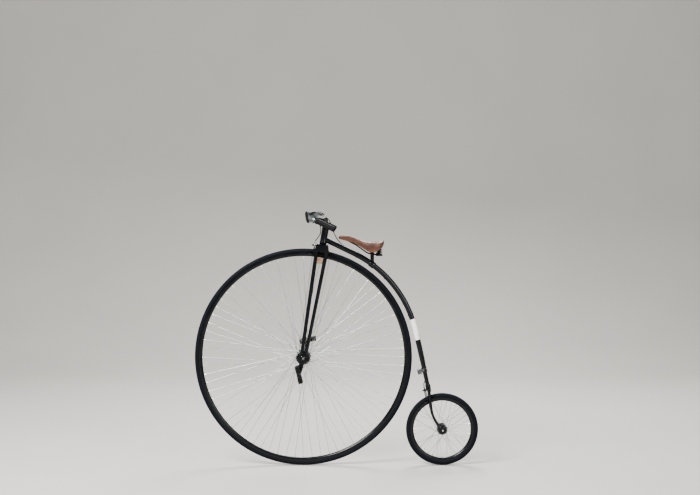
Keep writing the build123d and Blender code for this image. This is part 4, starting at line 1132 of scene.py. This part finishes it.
outer = saddle_surface()
inner_side = saddle_surface(hide_thickness)
inner_side[:, :, 2] = np.maximum(inner_side[:, :, 2], outer[-1, :, 2])
shell = np.concatenate([outer, inner_side[::-1]])
saddle = make_piece("leather_saddle", [grid(shell, caps=False)], leather, "frame", ["saddle_cover"],
                    sharp=70, merge=True)

# %% Stitching and rivets on the saddle
seam = outer[-4]
stitch_at = seam[::2]
tangent = unit(np.roll(seam, -1, 0) - np.roll(seam, 1, 0))[::2]
inward = unit(outer[-1] - outer[-6])[::2]
face_out = unit(np.cross(tangent, inward))
inside_saddle = np.array([-60.0, 0, 0])
face_out *= np.sign(np.sum(face_out * (stitch_at - inside_saddle), -1, keepdims=True))
stitch = lathe([(-1.7, 0.2), (-1.2, 0.6), (1.2, 0.6), (1.7, 0.2)], (0, 0, 0), back, 6)
stitches = moved_copies(stitch, stitch_at + face_out * 0.3, tangent, face_out, np.cross(tangent, face_out))
make_piece("saddle_stitches", [stitches], thread, "frame")
# One rivet holds the nose, and five hold the back. They are places (row, column) of the leather.
rivet_places = [(40, 0)] + [(22, column) for column in (96, 104, 110, 116, 124)]
rivets = [lathe([(-1, 3), (0.4, 4.4), (1.2, 3.8), (1.7, 2.2), (1.9, 0.5)], outer[place], up, 24)
          for place in rivet_places]
make_piece("saddle_rivets", rivets, plated, "frame")

# %% [markdown]
# Under the leather two steel rails run from the nose to a yoke, and two coil springs
# carry the back. A coil is a circle carried along a helix whose ends lie flat.

# %% Rails, springs, plate and seat post
rail_route = np.array([(-168, 8, 20), (-92, 17, -20), (-24, 22, -68), (42, 36, -79)], float)
spring_x, spring_y, spring_low, spring_high = 42.0, 42.0, -74.0, -22.0
spring_radius, spring_wire, spring_turns = 16.0, 2.6, 4
half_strip = 3
rails, coils = [], []
for _, way in left_and_right:
    rails.append(carry(rounded(rail_route * (1, way, 1), (70, 50)), round_section * 3.5, right))
    seat = np.array([spring_x, way * spring_y, spring_low - spring_wire])
    rails.append(lathe(chamfered(-6, 0, 8, 20), seat, up, 48))
    turn = np.linspace(0, spring_turns * 2 * pi, 40 * spring_turns)
    climb = spring_low + (spring_high - spring_low) * turn / turn[-1]
    helix = np.stack([spring_x + spring_radius * np.cos(turn), way * (spring_y + spring_radius * np.sin(turn)),
                      climb], -1)
    coils.append(carry(helix, oval(spring_wire, spring_wire, 14), up))
nose = [(-179, -13), (-157, -13), (-157, 13), (-179, 13)]
yoke = [(spring_x + x, y) for x, y in ((-6, -spring_y), (6, -spring_y), (6, spring_y), (-6, spring_y))]
rails.append(plate(nose, (0, 0, 20), back, right, -half_strip, half_strip))
rails.append(plate(yoke, (0, 0, spring_low - spring_wire - 3), back, right, -half_strip, half_strip))
make_piece("saddle_rails", rails, enamel, "frame", ["saddle_frame"], bevel=0.6)
make_piece("coil_springs", coils, enamel, "frame", ["saddle_springs"])
cantle = plate(oval(13, 75, 48, 3.2) + (43, 0), (0, 0, spring_high + spring_wire + 2), back, right, -2, 2)
make_piece("cantle_plate", [cantle], enamel, "frame", ["saddle_plate"], bevel=0.6)

post_angle = radians(53.4)
post_at = on_spine(post_angle)
rail_level = -68.0
post_top = np.array([2, 0, rail_level])
post = [lathe(chamfered(-16, 16, 15.2, 19.5, 1.5), post_at, (sin(post_angle), 0, -cos(post_angle)), 56, ring=True),
        carry(run((2, 0, post_at[2] + 12), post_top, 6), round_section * 11, right),
        lathe(chamfered(-33, 33, 7, 12), post_top, right, 40)]
make_piece("seat_post_clamp", post, enamel, "frame", ["seat_post"])
nuts = []
for _, way in left_and_right:
    nuts += hexagon(post_top + right * way * 33, right * way, 7, 5, stud=2)
make_piece("seat_post_nuts", nuts, blackened, "frame")

# %% [markdown]
# ## Studio
# A plain pale grey floor runs under the bicycle and far behind it, a little darker than
# the white band, so that the band stands out from it. One broad soft light
# comes from the left and above, a weaker one fills from the right, and a third picks
# out the edges from behind.

# %% Floor and lights
plaster = finish("pale_floor", None, (900, 3, 0.5), ("#bcbab6", "#c1bfba"), ramp=(0.2, 0.8), Roughness=0.75)
floor_reach, wall_at, wall_bend = 14.0, 8.0, 4.0
sweep_line = rounded([(-floor_reach, 0), (wall_at, 0), (wall_at, wall_at)], (wall_bend,), 40)
across = np.repeat(np.linspace(-floor_reach, floor_reach, 9)[:, None, None], len(sweep_line), 1)
studio = np.concatenate([across, np.broadcast_to(sweep_line, (9, *sweep_line.shape))], -1)
flat, quads, _ = grid(studio + (0, 0, floor_level * mm), around=False, caps=False)
floor_mesh = bpy.data.meshes.new("studio_floor")
floor_mesh.from_pydata(flat, [], quads.tolist())
floor_mesh.shade_smooth()
floor_mesh.materials.append(plaster)
floor = add_object("studio_floor", floor_mesh)

lit_point = np.array([-0.1, 0, -0.6])
# Columns: name, place, size, power in watts
for name, place, size, power in (
    ("key", (-3.2, -3.6, 3.6), 3.0, 620),
    ("fill", (3.6, -4.2, 1.6), 3.6, 150),
    ("rim", (0.6, 3.4, 3.6), 3.0, 300),
):
    lamp = bpy.data.lights.new(name, "AREA")
    lamp.shape = "DISK"
    lamp.size = size
    lamp.energy = power
    light = add_object(name, lamp)
    light.location = place
    toward = lit_point - place
    light.rotation_euler = (np.arctan2(np.hypot(*toward[:2]), -toward[2]), 0,
                            np.arctan2(toward[1], toward[0]) - pi / 2)
    print(name, "light of", power, "W")

world = bpy.data.worlds.new("studio")
world.use_nodes = True
sky = world.node_tree.nodes["Background"].inputs
sky["Color"].default_value = linear("#e9e9e6")
sky["Strength"].default_value = 0.6
bpy.context.scene.world = world

# The photograph is a contrasty snapshot: its blacks are deep.
bpy.context.scene.view_settings.look = "AgX - Medium High Contrast"
